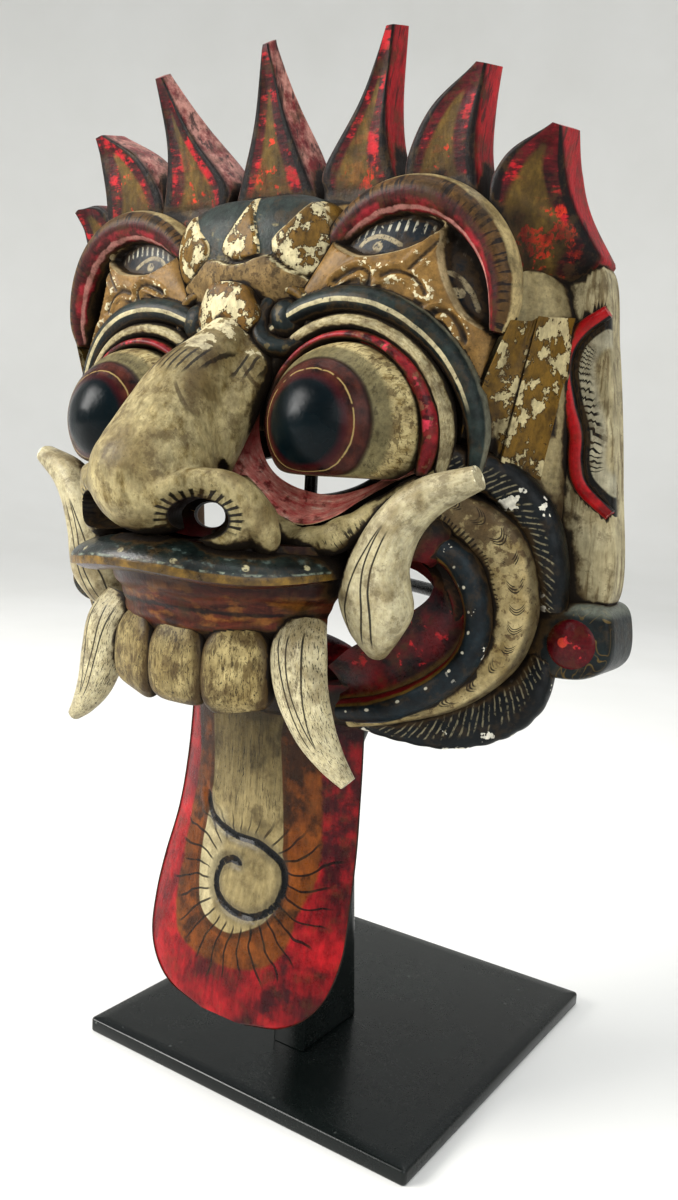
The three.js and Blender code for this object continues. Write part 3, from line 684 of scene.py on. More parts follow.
def teeth():
    made = []
    wide, deep = TEETH_ARCH
    for across in (-22.4, 0.0, 22.4):
        angle = math.asin(across / wide)
        x, y = jaw_line(wide, deep, np.array(angle))
        facing = unit(np.array((math.sin(angle) * deep, -math.cos(angle) * wide, 0)))
        line = [(x, y + back, z, half, depth) for back, z, half, depth in TOOTH_STATIONS]
        made.append(sweep(line, "tooth", steps=48, sides=36, front=facing, square=0.55))
    return made


def tusks():
    fang = ((41, -107, 198, 8.6, 5.2), (43, -112, 189, 10.4, 6.5), (46, -113, 177, 9.4, 6.2),
            (51, -112, 165, 7.4, 5.5), (57.5, -111, 156, 5, 4), (64, -110, 149.5, 2.6, 2.8))
    tusk = ((60, -90, 190, 4, 4), (62, -96, 198, 9.5, 7), (63.5, -99, 206, 13, 8.5),
            (64.5, -101, 214, 11.5, 9), (66.5, -102, 222, 9.5, 8.5), (72, -102, 233, 7.6, 8),
            (81, -101, 242, 6.4, 7), (97, -99, 249, 3.8, 4.5))
    return [sweep(fang, "fang", steps=60, sides=28, square=0.86),
            sweep(tusk, "tusk", steps=76, sides=30, square=0.86)]


def cheek_dish():
    """Red inner wall of the mouth corner, from the lip loop to the small gap beside the tusk."""
    outer = spline(((58, -91, 229), (69, -84, 225.5), (78.5, -77, 217.5), (84.5, -73.5, 206),
                    (83.5, -75, 192), (74.5, -80, 181.5), (60, -85, 173), (42, -85, 168.5)), 70)
    inner = spline(((60, -87, 225), (66.5, -81, 221.3), (72, -79, 216.5), (73, -79, 211), (70.5, -82, 206),
                    (63, -89, 199), (56, -92, 193.5), (48, -91, 188.5), (38, -87, 181)), 70)
    return hollow(outer, inner, columns=22, depth=4, paint="mouth")


def mouth_sides():
    def lock(t, c, n):
        return 0.05 * np.abs(np.sin((t * 11 + c * 0.5) * np.pi)) * (n > -0.3)

    loop = ((58, -92, 231, 2.5, 4), (70, -84, 229, 4.5, 6), (82, -76, 221, 5.5, 7), (88, -73, 206, 5, 7),
            (86.5, -74, 191, 5, 7), (77, -79, 179, 5, 7), (61, -84, 170, 5, 7), (44, -84, 166, 4, 6))
    skin = ((70, -85, 241, 4, 5), (81, -77, 237, 7.5, 6), (92, -70, 227, 9.5, 7), (97, -68, 213, 8.6, 7),
            (97, -67, 201, 7.8, 7), (92, -68, 189, 7.4, 7), (79, -72, 177, 6.8, 7), (60, -77, 168, 5, 7),
            (44, -78, 163, 4, 6))
    hair = ((74, -90, 256, 4, 4), (83, -80, 253, 5.5, 5.5), (93, -70, 247.5, 6.8, 6),
            (102, -64, 236, 6.8, 6), (107, -62, 222, 5.6, 5.5), (107, -58, 208, 5, 5))
    beard = ((104, -54, 189, 5, 5), (99, -58, 177, 8.5, 5.5), (89, -62, 169, 9.4, 5.5),
             (76, -68, 163.5, 7.8, 5.5), (61, -73, 161.5, 5, 5), (46, -74, 162, 4, 4))
    return [sweep(loop, "lip_loop", steps=90, sides=22),
            sweep(skin, "jaw_skin", steps=96, sides=24, square=0.75),
            sweep(hair, "hair", steps=84, sides=24, square=0.72, relief=lock),
            sweep(beard, "hair", steps=90, sides=24, square=0.72, relief=lock)]


# Ears and tongue
def temple():
    """Gold facets between the brow leaf and the ear, with a ridge at each side."""
    u = np.linspace(0, 1, 40)[:, None]
    v = np.linspace(0, 1, 50)
    left = np.array((97, -83, 297.0)) * (1 - v)[:, None] + np.array((83, -84, 262.0)) * v[:, None]
    right = np.array((106, -56, 302.0)) * (1 - v)[:, None] + np.array((103, -58, 248.0)) * v[:, None]
    grid = left[None] * (1 - u)[..., None] + right[None] * u[..., None]
    ridge = 3.2 * smooth(-np.abs(u - 0.03), -0.12, 0) + 2.6 * smooth(-np.abs(u - 0.55), -0.09, 0)
    dent = 3.5 * smooth(-np.abs(u - 0.28), -0.22, 0) * np.abs(1 - 2 * v) ** 0.6
    grid[..., 1] += dent - ridge - 5 * np.sin(np.pi * u)
    place = np.stack(np.broadcast_arrays(u, v[None], 0 * u), -1)
    return sheet(grid, place, "temple")


def ears():
    ear = board(EAR_OUTLINE, front=-54, back=-42, bevel=2.5, paint="ear", count=130)
    flat = ear.points[:, (0, 2)]
    line = spline(EAR_BAND, 60)
    gap = line_gap(flat, line)
    nearest = np.argmin(np.linalg.norm(flat[:, None] - line[None], axis=-1), axis=1)
    run = unit(np.gradient(line, axis=0))[nearest]
    off = flat - line[nearest]
    side = np.sign(run[:, 0] * off[:, 1] - run[:, 1] * off[:, 0])
    ear.mark = np.stack([gap * side, nearest / len(line), 0 * gap], -1)
    size = np.interp(np.linspace(0, 1, len(line)), (0, 0.15, 0.8, 1), (2.2, 2.9, 2.9, 2))
    stations = np.column_stack([line[:, 0], np.full(len(line), -54.0), line[:, 1], size, size * 0.9])
    band = sweep(stations, "ear_band", steps=70, sides=18)
    earring = board(EARRING_OUTLINE, front=-58, back=-36, bevel=4, paint="earring", count=90, rise=1.0)
    jewel = ball((114.5, -57.8, 196.5), (8.8, 2.4, 8.6), "jewel", sides=32, rows=18)
    return [ear, band, earring, jewel, temple()]


def tongue():
    line = spline(TONGUE_STATIONS, 120)
    at, half, bow = line[:, :2], line[:, 2:3], line[:, 3:]
    along = unit(np.gradient(at, axis=0))
    inside = np.stack([-along[:, 1], along[:, 0]], -1)
    face = np.sin(np.linspace(-1, 1, 61) * np.pi / 2)
    rear = face[1:-1][::-1]
    share = np.concatenate([face, rear])
    thick = np.concatenate([1.2 * np.abs(face) ** 8, 9 * (1 - rear ** 6) + 0.5])
    sink = bow * share ** 2 + thick
    x = half * share + 0.8 * np.sin(line[:, 1:2] * 0.05)
    y = at[:, :1] + sink * inside[:, :1]
    z = at[:, 1:] + sink * inside[:, 1:]
    flat = np.stack(np.broadcast_arrays(x, z), -1).reshape(-1, 2)
    curl_line = spline(TONGUE_CURL, 90)
    curl = line_gap(flat, curl_line).reshape(x.shape)
    front = np.arange(len(share)) < len(face)
    y = y + front * (0.9 * smooth(-curl, -1.8, -0.4) - 0.5 * smooth(-np.abs(curl - 3.4), -1.6, 0))
    rings = np.stack([x, y, z], -1)
    t = np.linspace(0, 1, len(line))[:, None]
    place = np.stack(np.broadcast_arrays(t, share[None], np.where(front, 1.0, -1.0)[None]), -1)
    body = loft(rings, place, "tongue")
    flat = body.points[:, (0, 2)]
    fields = [depth_in(flat, outline) for outline in (TONGUE_IVORY, TONGUE_ORANGE)]
    body.mark = np.stack([line_gap(flat, curl_line), *fields], -1)
    return body


# The whole carving and its wear
def mask_bodies():
    mouth = mouth_cutters()
    slits = eye_slits()
    opened = cut(shell(), [*mouth, *slits, *nostrils()])
    swell = ball((46, -82, 229), (34, 16, 17), "wood", sides=40, rows=24)
    cheek = cut(swell, [slits[0], *mouth, *nostrils()])
    for body in (opened, cheek):
        body.place = shell_place(body.points)
    crest = [flame(*size) for size in FLAMES] + [flame(*size).mirrored() for size in FAR_FLAMES]
    pairs = [brow_panel(), *lids(), eye(), lower_lid(), cheeks(), *tusks(), cheek_dish(), *mouth_sides()]
    return [opened, *both([cheek, *pairs, *ears()]), *crest, *forehead(), nose(), gum(), lip(), *teeth(),
            tongue()]


def weathering(points, faces):
    """At each point: how shut in it is, how far it stands out, and how deep it lies in a crease."""
    a, b, c = (points[faces[:, k]] for k in range(3))
    flat = np.cross(b - a, c - a)
    normal = np.zeros_like(points)
    for k in range(3):
        np.add.at(normal, faces[:, k], flat)
    normal = unit(normal)
    edge = neighbours(faces)
    pull = around(points, edge) - points
    length = np.linalg.norm(points[edge[:, 0]] - points[edge[:, 1]], axis=1)
    size = mean_by(edge[:, 0], length[:, None], len(points))[:, 0]
    stand = np.clip(-(pull * normal).sum(-1) / np.maximum(size, 1e-6), -1, 1)
    stand = 0.5 * stand + 0.5 * around(stand[:, None], edge)[:, 0]
    helper = np.where(np.abs(normal[:, 2:]) < 0.9, UP, SIDEWAYS)
    side = unit(np.cross(normal, helper))
    other = np.cross(normal, side)
    tree = BVHTree.FromPolygons(points.tolist(), faces.tolist())
    shut = np.zeros(len(points))
    starts = [Vector(p) for p in (points + normal * SOOT_LIFT).tolist()]
    for k in range(SOOT_RAYS):
        lift = math.sqrt((k + 0.5) / SOOT_RAYS)
        turn = GOLDEN_TURN * k
        wide = math.sqrt(1 - lift * lift)
        way = normal * lift + side * (wide * math.cos(turn)) + other * (wide * math.sin(turn))
        for i, (start, aim) in enumerate(zip(starts, way.tolist())):
            hit = tree.ray_cast(start, Vector(aim), SOOT_REACH)[3]
            if hit is not None:
                shut[i] += 1 - hit / SOOT_REACH
    return np.stack([shut / SOOT_RAYS, np.clip(stand, 0, 1), np.clip(-stand, 0, 1)], -1)


# Paint
def hue(code):
    """Linear colour from a six-figure colour code."""
    parts = [int(code[k:k + 2], 16) / 255 for k in (0, 2, 4)]
    return (*[v / 12.92 if v <= 0.04045 else ((v + 0.055) / 1.055) ** 2.4 for v in parts], 1.0)


class Tone:
    """A value of a finish, so that its maths reads as plain sums."""

    def __init__(self, finish, socket):
        self.finish = finish
        self.socket = socket

    def sum(self, operation, *others):
        terms = dict(enumerate((self, *others)))
        return self.finish.node("ShaderNodeMath", {"operation": operation}, terms)

    def __add__(self, other):
        return self.sum("ADD", other)

    def __sub__(self, other):
        return self.sum("SUBTRACT", other)

    def __rsub__(self, other):
        return self.finish.node("ShaderNodeMath", {"operation": "SUBTRACT"}, {0: other, 1: self})

    def __mul__(self, other):
        return self.sum("MULTIPLY", other)

    def __truediv__(self, other):
        return self.sum("DIVIDE", other)

    def __rtruediv__(self, other):
        return self.finish.node("ShaderNodeMath", {"operation": "DIVIDE"}, {0: other, 1: self})

    def __pow__(self, other):
        return self.sum("POWER", other)

    def __abs__(self):
        return self.sum("ABSOLUTE")

    __radd__ = __add__
    __rmul__ = __mul__

    def clip(self):
        return self.finish.node("ShaderNodeMath", {"operation": "ADD", "use_clamp": True}, {0: self, 1: 0.0})

    def over(self, low, high):
        """Nought below low, one above high, smooth between."""
        settings = {"interpolation_type": "SMOOTHSTEP"}
        return self.finish.node("ShaderNodeMapRange", settings, {0: self, 1: low, 2: high})

    def under(self, low, high):
        return 1 - self.over(low, high)

    def near(self, middle, half, soft):
        return abs(self - middle).under(half, half + soft)

    def larger(self, other):
        return self.sum("MAXIMUM", other)

    def wave(self):
        return self.sum("SINE")

    def part(self):
        return self.sum("FRACT")


class Finish:
    """A painted finish: its nodes, and the carver's measures at each point."""

    def __init__(self, name):
        self.material = bpy.data.materials.new(name)
        self.material.use_nodes = True
        self.tree = self.material.node_tree
        self.tree.nodes.clear()
        self.at = self.node("ShaderNodeVectorMath", {"operation": "SCALE"}, {
            0: self.node("ShaderNodeTexCoord", out="Object"), "Scale": 1 / MM})
        self.x, self.y, self.z = self.split(self.at)

    def node(self, kind, settings=None, sockets=None, out=0):
        made = self.tree.nodes.new(kind)
        for name, value in (settings or {}).items():
            setattr(made, name, value)
        for key, value in (sockets or {}).items():
            if isinstance(value, Tone):
                self.tree.links.new(value.socket, made.inputs[key])
            else:
                made.inputs[key].default_value = value
        return Tone(self, made.outputs[out])

    def split(self, vector):
        apart = self.tree.nodes.new("ShaderNodeSeparateXYZ")
        self.tree.links.new(vector.socket, apart.inputs[0])
        return [Tone(self, socket) for socket in apart.outputs]

    def measure(self, name):
        return self.split(self.node("ShaderNodeAttribute", {"attribute_name": name}, out="Vector"))

    def noise(self, scale, detail=3.0, rough=0.55, stretch=None, at=None, warp=0.0):
        vector = self.at if at is None else at
        if stretch is not None:
            vector = self.node("ShaderNodeVectorMath", {"operation": "MULTIPLY"}, {0: vector, 1: stretch})
        sockets = {"Vector": vector, "Scale": scale, "Detail": detail, "Roughness": rough, "Distortion": warp}
        return self.node("ShaderNodeTexNoise", None, sockets)

    def cells(self, scale):
        return self.node("ShaderNodeTexVoronoi", None, {"Vector": self.at, "Scale": scale})

    def join(self, x, y, z):
        return self.node("ShaderNodeCombineXYZ", None, {0: x, 1: y, 2: z})

    def mix(self, first, second, share, blend="MIX"):
        """Second colour over the first by its share; each is a colour code or a worked value."""
        settings = {"data_type": "RGBA", "blend_type": blend, "clamp_factor": True}
        first, second = (hue(c) if isinstance(c, str) else c for c in (first, second))
        return self.node("ShaderNodeMix", settings, {0: share, 6: first, 7: second}, 2)

    def length(self, x, y, z):
        return self.node("ShaderNodeVectorMath", {"operation": "LENGTH"}, {0: self.join(x, y, z)}, 1)

    def finish(self, colour, rough, height, fixed):
        """Shader from colour, roughness and height in millimetres; fixed values go on its own sockets."""
        bump = self.node("ShaderNodeBump", None, {"Height": height, "Distance": MM, "Strength": 0.7})
        sockets = {"Base Color": colour, "Roughness": rough, "Normal": bump, **fixed}
        shader = self.node("ShaderNodeBsdfPrincipled", None, sockets)
        out = self.tree.nodes.new("ShaderNodeOutputMaterial")
        self.tree.links.new(shader.socket, out.inputs["Surface"])
        return self.material


# Near-black soot; on the eye it is also painted shade
SOOT_AND_SHADE = "120d09"
UMBER = "3a2a14"
# Pale ground shown on worn edges, which there also serves as painted highlight
PALE_GROUND_AND_HIGHLIGHT = "e2d6ae"
GLOSS = {"Specular IOR Level": 0.14}


def aged(f, colour, dirt=1.0, edge_chips_and_highlight=0.35, specks=0.5, under=PALE_GROUND_AND_HIGHLIGHT, rough=0.46, grain=(1, 1, 1), tone=0.5,
         height=0.0, fixed=GLOSS):
    """Years of handling over a paint: uneven tone, brush marks, soot, specks, and edges pale from wear and
    painted highlight.
    """
    shut, stand, crease = f.measure("wear")
    broad = f.noise(0.045, 3)
    middle = f.noise(0.2, 5, 0.62)
    fine = f.noise(1.1, 4, 0.7)
    brush = f.noise(0.6, 4, 0.65, grain)
    level = (broad - 0.5) * 1.6 * tone + (brush - 0.5) * 1.8 * tone + (middle - 0.5) * 1.6 * tone + 0.68
    colour = f.mix(colour, level.larger(0.1), 1.0, "MULTIPLY")
    grime = (f.noise(0.13, 6, 0.72) + (brush - 0.5) * 0.3).over(0.5, 0.64) * (0.55 * dirt)
    colour = f.mix(colour, UMBER, grime.clip())
    soot = shut * 2.1 + crease * 1.5 + (middle - 0.5) * 1.3 + (broad - 0.5) * 0.6 - 0.36
    soot = (soot * (1.7 * dirt)).clip()
    colour = f.mix(colour, UMBER, soot.over(0.0, 0.5) * 0.8)
    colour = f.mix(colour, SOOT_AND_SHADE, soot.over(0.28, 0.8) * 0.95)
    dots = fine.over(0.58, 0.66) * specks * middle.over(0.42, 0.6)
    colour = f.mix(colour, SOOT_AND_SHADE, dots * 0.75)
    # Edges that stand out turn pale: partly paint worn to the ground, partly painted highlight
    worn_and_highlit_edges = (stand * 2.6 + (middle - 0.5) * 2.2 + (fine - 0.5) * 1.1 - 1.15 + edge_chips_and_highlight).over(0.0, 0.12)
    colour = f.mix(colour, under, worn_and_highlit_edges * (1 - soot))
    gloss = (fine - 0.5) * 0.25 + (middle - 0.5) * 0.2 + worn_and_highlit_edges * 0.2 + soot * 0.15 + rough
    relief = brush * 0.16 + fine * 0.1 + middle * 0.35 - worn_and_highlit_edges * 0.25 + height
    return f.finish(colour, gloss.clip(), relief, fixed)


def flame_paint():
    f = Finish("flame_red")
    t, s, n = f.measure("place")
    wobble = (f.noise(0.09) - 0.5) * 0.5
    comb = f.noise(0.5, 4, 0.65, (0.35, 0.35, 1.6))
    face = n.over(0.55, 0.9)
    colour = f.mix("230809", "6b121b", (comb - 0.5) * 2.4 + 0.4 + (f.noise(0.05, 2) - 0.5) * 1.6)
    colour = f.mix(colour, "c41c26", (f.noise(0.1, 4, 0.6) + (comb - 0.5) * 0.4).over(0.53, 0.63) * 0.85)
    width = (0.98 - t).larger(0.0) ** 0.8 * 0.62
    tongue = (width - abs(s + 0.06 + wobble * 0.25)).over(-0.05, 0.12) * t.under(0.72, 0.84)
    olive = f.mix("33270b", "7d6227", (f.noise(0.25, 4, 0.6, (1, 1, 0.35)) - 0.5) * 2.0 + 0.5)
    colour = f.mix(colour, olive, tongue * 0.9)
    glow = (f.noise(0.11, 4, 0.65) + (0.3 - t) * 0.22 - abs(s) * 0.06).over(0.56, 0.61) * t.under(0.5, 0.7)
    colour = f.mix(colour, "e0381c", glow * f.noise(0.6, 3, 0.6, (1, 1, 0.25)).over(0.36, 0.5) * 0.9)
    shade = (abs(s) + wobble * 0.2).over(0.62, 0.96) * 0.75
    colour = f.mix(colour, "0b0607", shade)
    line = (abs(s) + wobble * 0.08).near(0.86, 0.1, 0.08)
    colour = f.mix(colour, "070505", line * 0.97)
    colour = f.mix(colour, "0b0607", t.under(0.0, 0.16) * f.noise(0.1, 3).over(0.38, 0.58) * 0.75)
    streak = f.noise(0.35, 4, 0.65, (1, 1, 0.12))
    red = f.mix("7c0d16", "cf1d28", (streak - 0.5) * 2.6 + 0.5)
    worn = f.mix("7a2426", "c28a7c", (f.noise(0.1, 5, 0.7) + (streak - 0.5) * 0.3).over(0.38, 0.6))
    side = f.mix(worn, red, s.over(-0.2, 0.2) * f.x.over(20.0, 26.0))
    side = f.mix(side, "1d0708", streak.over(0.52, 0.64) * 0.85)
    colour = f.mix(side, colour, face)
    bare = f.mix("33170f", "5f3420", streak)
    colour = f.mix(colour, bare, n.under(-0.98, -0.9))
    return aged(f, colour, dirt=1.1, edge_chips_and_highlight=-0.1, specks=0.5, under="c98f86", rough=0.46, grain=(1, 1, 0.3),
                tone=0.6)


def brow_paint():
    f = Finish("brow_brown")
    t, c, _ = f.measure("place")
    wobble = (f.noise(0.2) - 0.5) * 0.25
    c = c + wobble
    hatch = f.noise(1.0, 2, 0.5, at=f.join(t * 80, c * 0.7, 0.0)).over(0.5, 0.58)
    brown = f.mix("3a240d", "6b4d25", f.noise(0.3, 4))
    brown = f.mix(brown, "0d0706", hatch * 0.92)
    maroon = f.mix("1d0708", "5a1218", f.noise(0.25, 4))
    colour = f.mix("b09c6c", brown, c.over(-0.84, -0.72))
    colour = f.mix(colour, maroon, c.over(-0.3, 0.05) * (1 - hatch * 0.5) * 0.95)
    colour = f.mix(colour, "a82833", c.over(0.2, 0.45) * f.noise(0.12, 4).over(0.44, 0.6) * 0.8)
    colour = f.mix(colour, "c98a80", c.near(0.74, 0.05, 0.07) * 0.9)
    colour = f.mix(colour, "0d0707", c.over(0.84, 0.94))
    return aged(f, colour, dirt=1.0, edge_chips_and_highlight=0.1, specks=0.7, under="b8a473", rough=0.46, tone=0.7)


def leaf_paint():
    f = Finish("leaf_gold")
    u, v, _ = f.measure("place")
    lens, curls, motif = f.measure("mark")
    gold = f.mix("6b4d24", "9c7840", f.noise(0.12, 4, 0.6))
    gold = f.mix(gold, "8a6418", v.under(0.0, 0.35) * u.over(0.55, 0.8) * 0.6)
    gold = f.mix(gold, PALE_GROUND_AND_HIGHLIGHT, (f.noise(0.35, 4, 0.65) - abs(curls - 2.0) * 0.05).over(0.54, 0.57))
    gold = f.mix(gold, "140c06", curls.under(0.25, 0.85) * 0.92)
    navy = f.mix("070b0f", "182630", f.noise(0.25, 4))
    dash = (u * 230).wave().over(0.35, 0.6) * v.near(0.8, 0.045, 0.03) * f.noise(0.5, 2).over(0.38, 0.5)
    navy = f.mix(navy, "b9b5a0", dash)
    navy = f.mix(navy, "a89a78", motif.under(0.55, 0.95) * f.noise(0.9, 2).over(0.3, 0.45))
    colour = f.mix(gold, navy, lens.over(-0.1, 0.5))
    colour = f.mix(colour, "b5a27a", lens.near(-0.3, 0.3, 0.4) * 0.8)
    return aged(f, colour, dirt=0.8, edge_chips_and_highlight=0.15, specks=0.7, rough=0.42, tone=0.6)


def lid_band_paint():
    f = Finish("lid_slate")
    t, c, _ = f.measure("place")
    c = c + (f.noise(0.12) - 0.5) * 0.16
    slate = f.mix("0a1110", "2c3935", (f.noise(0.2, 4) - 0.5) * 1.8 + 0.4)
    # Deep navy toward the inner side: navy paint darkened further as painted shade
    colour = f.mix(slate, "070c10", c.over(0.2, 0.5))
    stripe = c.near(0.06, 0.12, 0.06) * t.over(0.06, 0.16) * t.under(0.8, 0.88)
    colour = f.mix(colour, "c9bd95", stripe * f.noise(0.5, 3).over(0.28, 0.4))
    # Pale outer rim of the band: painted highlight
    colour = f.mix(colour, "8b8872", c.under(-0.95, -0.85) * 0.5)
    return aged(f, colour, dirt=0.9, edge_chips_and_highlight=0.0, specks=0.35, under="c9bd95", rough=0.4, tone=0.6)


def cream_paint():
    f = Finish("rim_cream")
    t, c, n = f.measure("place")
    streak = f.noise(1.0, 4, 0.65, at=f.join(t * 60, c * 5, n * 5))
    colour = f.mix("85744a", "d0c398", (streak - 0.5) * 2.4 + 0.55)
    colour = f.mix(colour, "4f3a1b", f.noise(0.15, 4, 0.6).over(0.5, 0.66) * 0.75)
    return aged(f, colour, dirt=1.0, edge_chips_and_highlight=0.3, specks=0.8, rough=0.5)


def lid_red_paint():
    f = Finish("lid_red")
    colour = f.mix("5a1016", "a8232c", (f.noise(0.2, 4) - 0.5) * 1.8 + 0.5)
    colour = f.mix(colour, "24070a", f.noise(0.22, 4).over(0.5, 0.62) * 0.85)
    colour = f.mix(colour, "8c6a4a", f.noise(0.3, 4).over(0.58, 0.64) * 0.6)
    colour = f.mix(colour, "f0405a", f.noise(0.14, 3).over(0.62, 0.66) * 0.9)
    return aged(f, colour, dirt=0.5, edge_chips_and_highlight=0.0, specks=0.3, under="d58f80", rough=0.36)


def eye_paint():
    f = Finish("eye_paint")
    _, forward, _ = f.measure("place")
    forward = forward + (f.noise(0.15) - 0.5) * 0.8
    streak = f.noise(0.5, 5, 0.68, (1, 0.14, 1))
    cloud = f.noise(0.09, 4, 0.6)
    scratch = f.noise(0.9, 4, 0.7, (1, 0.3, 0.35))
    ivory = f.mix("6b5830", "c7b886", (streak - 0.5) * 3.6 + 0.55)
    ivory = f.mix(ivory, "3d2a12", (streak * 0.5 + cloud * 0.5).over(0.49, 0.58) * 0.8)
    ivory = f.mix(ivory, "3a2912", scratch.over(0.54, 0.6) * 0.7)
    olive = f.mix("2c2918", "655e40", (f.noise(0.3, 4) - 0.5) * 2.4 + 0.45)
    colour = f.mix(ivory, olive, forward.over(107.2, 109.6) * 0.8)
    brown = f.mix("120807", "4d241a", (f.noise(0.2, 4) - 0.5) * 2.4 + 0.45)
    colour = f.mix(colour, brown, forward.over(112.8, 114.6))
    colour = f.mix(colour, "0b0606", forward.near(114.0, 0.4, 0.9) * 0.6)
    colour = f.mix(colour, "2d080d", forward.over(118.2, 119.6) * 0.9)
    colour = f.mix(colour, "a8925c", forward.near(117.9, 0.05, 0.16) * f.noise(0.3, 2).over(0.3, 0.42) * 0.6)
    pupil = f.mix("010203", "041318", f.noise(0.06, 2))
    colour = f.mix(colour, pupil, forward.over(119.2, 121.0))
    shine = forward.over(112.0, 118.0)
    shut = f.measure("wear")[0]
    fine = f.noise(1.1, 4, 0.7)
    colour = f.mix(colour, SOOT_AND_SHADE, fine.over(0.6, 0.68) * forward.under(112.0, 114.0) * 0.6)
    # Near-black where the lids shut the eye in: painted shade
    colour = f.mix(colour, SOOT_AND_SHADE, (shut * 2.4 - 0.45).clip() * 0.9)
    rough = 0.42 - shine * 0.2 + (fine - 0.5) * 0.12
    return f.finish(colour, rough, fine * 0.05 + streak * 0.2, {"Specular IOR Level": 0.1})


def trough_paint():
    f = Finish("lower_lid_pink")
    u, v, _ = f.measure("place")
    streak = f.noise(1.0, 4, 0.68, at=f.join(u * 16, v * 7, 0.0))
    colour = f.mix("cc4446", "ffb4a2", (streak - 0.5) * 3.0 + 0.5)
    colour = f.mix(colour, "5c1216", (f.noise(0.25, 4) + (v - 0.5) * 0.06).over(0.56, 0.66) * 0.75)
    colour = f.mix(colour, "ffdcc8", streak.over(0.58, 0.68) * 0.7)
    colour = f.mix(colour, "8c1420", u.under(0.16, 0.28) * v.under(0.5, 0.8) * 0.75)
    colour = f.mix(colour, "c9b888", v.over(0.95, 0.985) * 0.8)
    return aged(f, colour, dirt=0.22, edge_chips_and_highlight=0.05, specks=0.3, under="ffc8b4", rough=0.4, tone=0.4)


def nose_paint():
    f = Finish("nose_ivory")
    turn, reach, low = f.measure("place")
    wash = f.noise(0.06, 4, 0.6)
    drag = f.noise(0.4, 5, 0.7, (1, 0.5, 0.3))
    colour = f.mix("6e5b2e", "cfc08e", (drag - 0.5) * 2.6 + (wash - 0.5) * 1.6 + 0.6)
    colour = f.mix(colour, "553f18", (wash * 0.7 + drag * 0.3).over(0.47, 0.6) * 0.75)
    colour = f.mix(colour, "4f3a14", (f.z + (wash - 0.5) * 40).over(262.0, 288.0) * 0.55)
    stroke = (turn * 78 + (f.noise(0.5) - 0.5) * 1.5).wave().over(0.0, 0.4)
    length = f.noise(1.0, 1, 0.5, at=f.join(turn * 12, 0.0, 0.0)) * 0.4
    lash = stroke * reach.under(1.2 + length, 1.3 + length) * reach.over(0.8, 0.9)
    lash = lash * low * abs(turn).under(0.62, 0.7)
    colour = f.mix(colour, "090605", lash * 0.96)
    inside = reach.under(1.0, 1.1) * low
    colour = f.mix(colour, "0d0508", inside * 0.97)
    flake = (f.noise(0.16, 5, 0.64) + (f.z - 290.0) * 0.012).over(0.5, 0.52) * f.z.over(284.0, 286.0)
    colour = f.mix(colour, "dccfa6", flake)
    tuft = f.noise(1.0, 1, 0.5, at=f.join(f.x * 0.35, 0.0, 4.0)) * 9
    bridge = (f.x * 2.6 + (f.noise(0.4) - 0.5) * 2).wave().over(0.35, 0.75)
    bridge = bridge * (f.z + tuft).over(281.0, 284.0) * f.z.under(284.5, 286.5)
    colour = f.mix(colour, "0f0905", bridge * 0.9)
    wrinkle = ((abs(f.x) - 9.0) * 0.55 + (f.z - 268.0) * 0.4).wave().over(0.94, 0.99)
    wrinkle = wrinkle * abs(f.x).over(7.0, 9.0)
    colour = f.mix(colour, "33230b", wrinkle * f.z.over(262.0, 268.0) * f.z.under(280.0, 284.0) * 0.7)
    return aged(f, colour, dirt=1.1, edge_chips_and_highlight=0.2, specks=0.7, under="dacfa4", rough=0.44, grain=(1, 1, 0.5))


def fold_paint():
    f = Finish("fold_ivory")
    t, c, _ = f.measure("place")
    colour = f.mix("8c7a48", "c7b98a", f.noise(0.2, 4))
    hair = f.noise(1.0, 2, 0.5, at=f.join(t * 90, c * 1.2, 0.0)).over(0.53, 0.58)
    colour = f.mix(colour, "0b0805", hair * c.over(-0.1, 0.4) * 0.92)
    colour = f.mix(colour, "0b0805", c.over(0.5, 0.85) * 0.8)
    return aged(f, colour, dirt=1.3, edge_chips_and_highlight=0.2, specks=0.8, rough=0.45)


def lip_paint():
    f = Finish("lip_slate")
    t, c, n = f.measure("place")
    n = n + (f.noise(0.15) - 0.5) * 0.2
    slate = f.mix("050a09", "24312d", (f.noise(0.12, 5, 0.6) - 0.5) * 2.4 + 0.4)
    slate = f.mix(slate, "566660", f.noise(0.2, 4, 0.6).over(0.58, 0.68) * c.over(-0.2, 0.4) * 0.6)
    ochre = f.mix("3a280c", "8c6a24", (f.noise(0.2, 4) - 0.5) * 2.0 + 0.5)
    under = f.mix("1f0a09", "491811", f.noise(0.2, 4))
    colour = f.mix(under, ochre, n.over(-0.62, -0.48))
    colour = f.mix(colour, slate, n.over(0.16, 0.26))
    colour = f.mix(colour, "8b9480", n.near(0.3, 0.03, 0.06) * f.noise(0.3, 3).over(0.44, 0.6) * 0.7)
    spread = f.noise(1.0, 1, at=f.join(t * 9, 0.0, 5.0)) * 6 - 3
    dot = f.length((t * 9.0).part() * 18 - 9 + spread, n * 8 - 4.6 + spread * 0.6, 0.0)
    colour = f.mix(colour, "b9b088", dot.under(0.8, 1.2) * n.over(0.2, 0.3) * f.noise(0.8, 2).over(0.36, 0.5))
    return aged(f, colour, dirt=1.0, edge_chips_and_highlight=0.0, specks=0.4, under="c9bd95", rough=0.32, tone=0.8,
                fixed={"Specular IOR Level": 0.3})


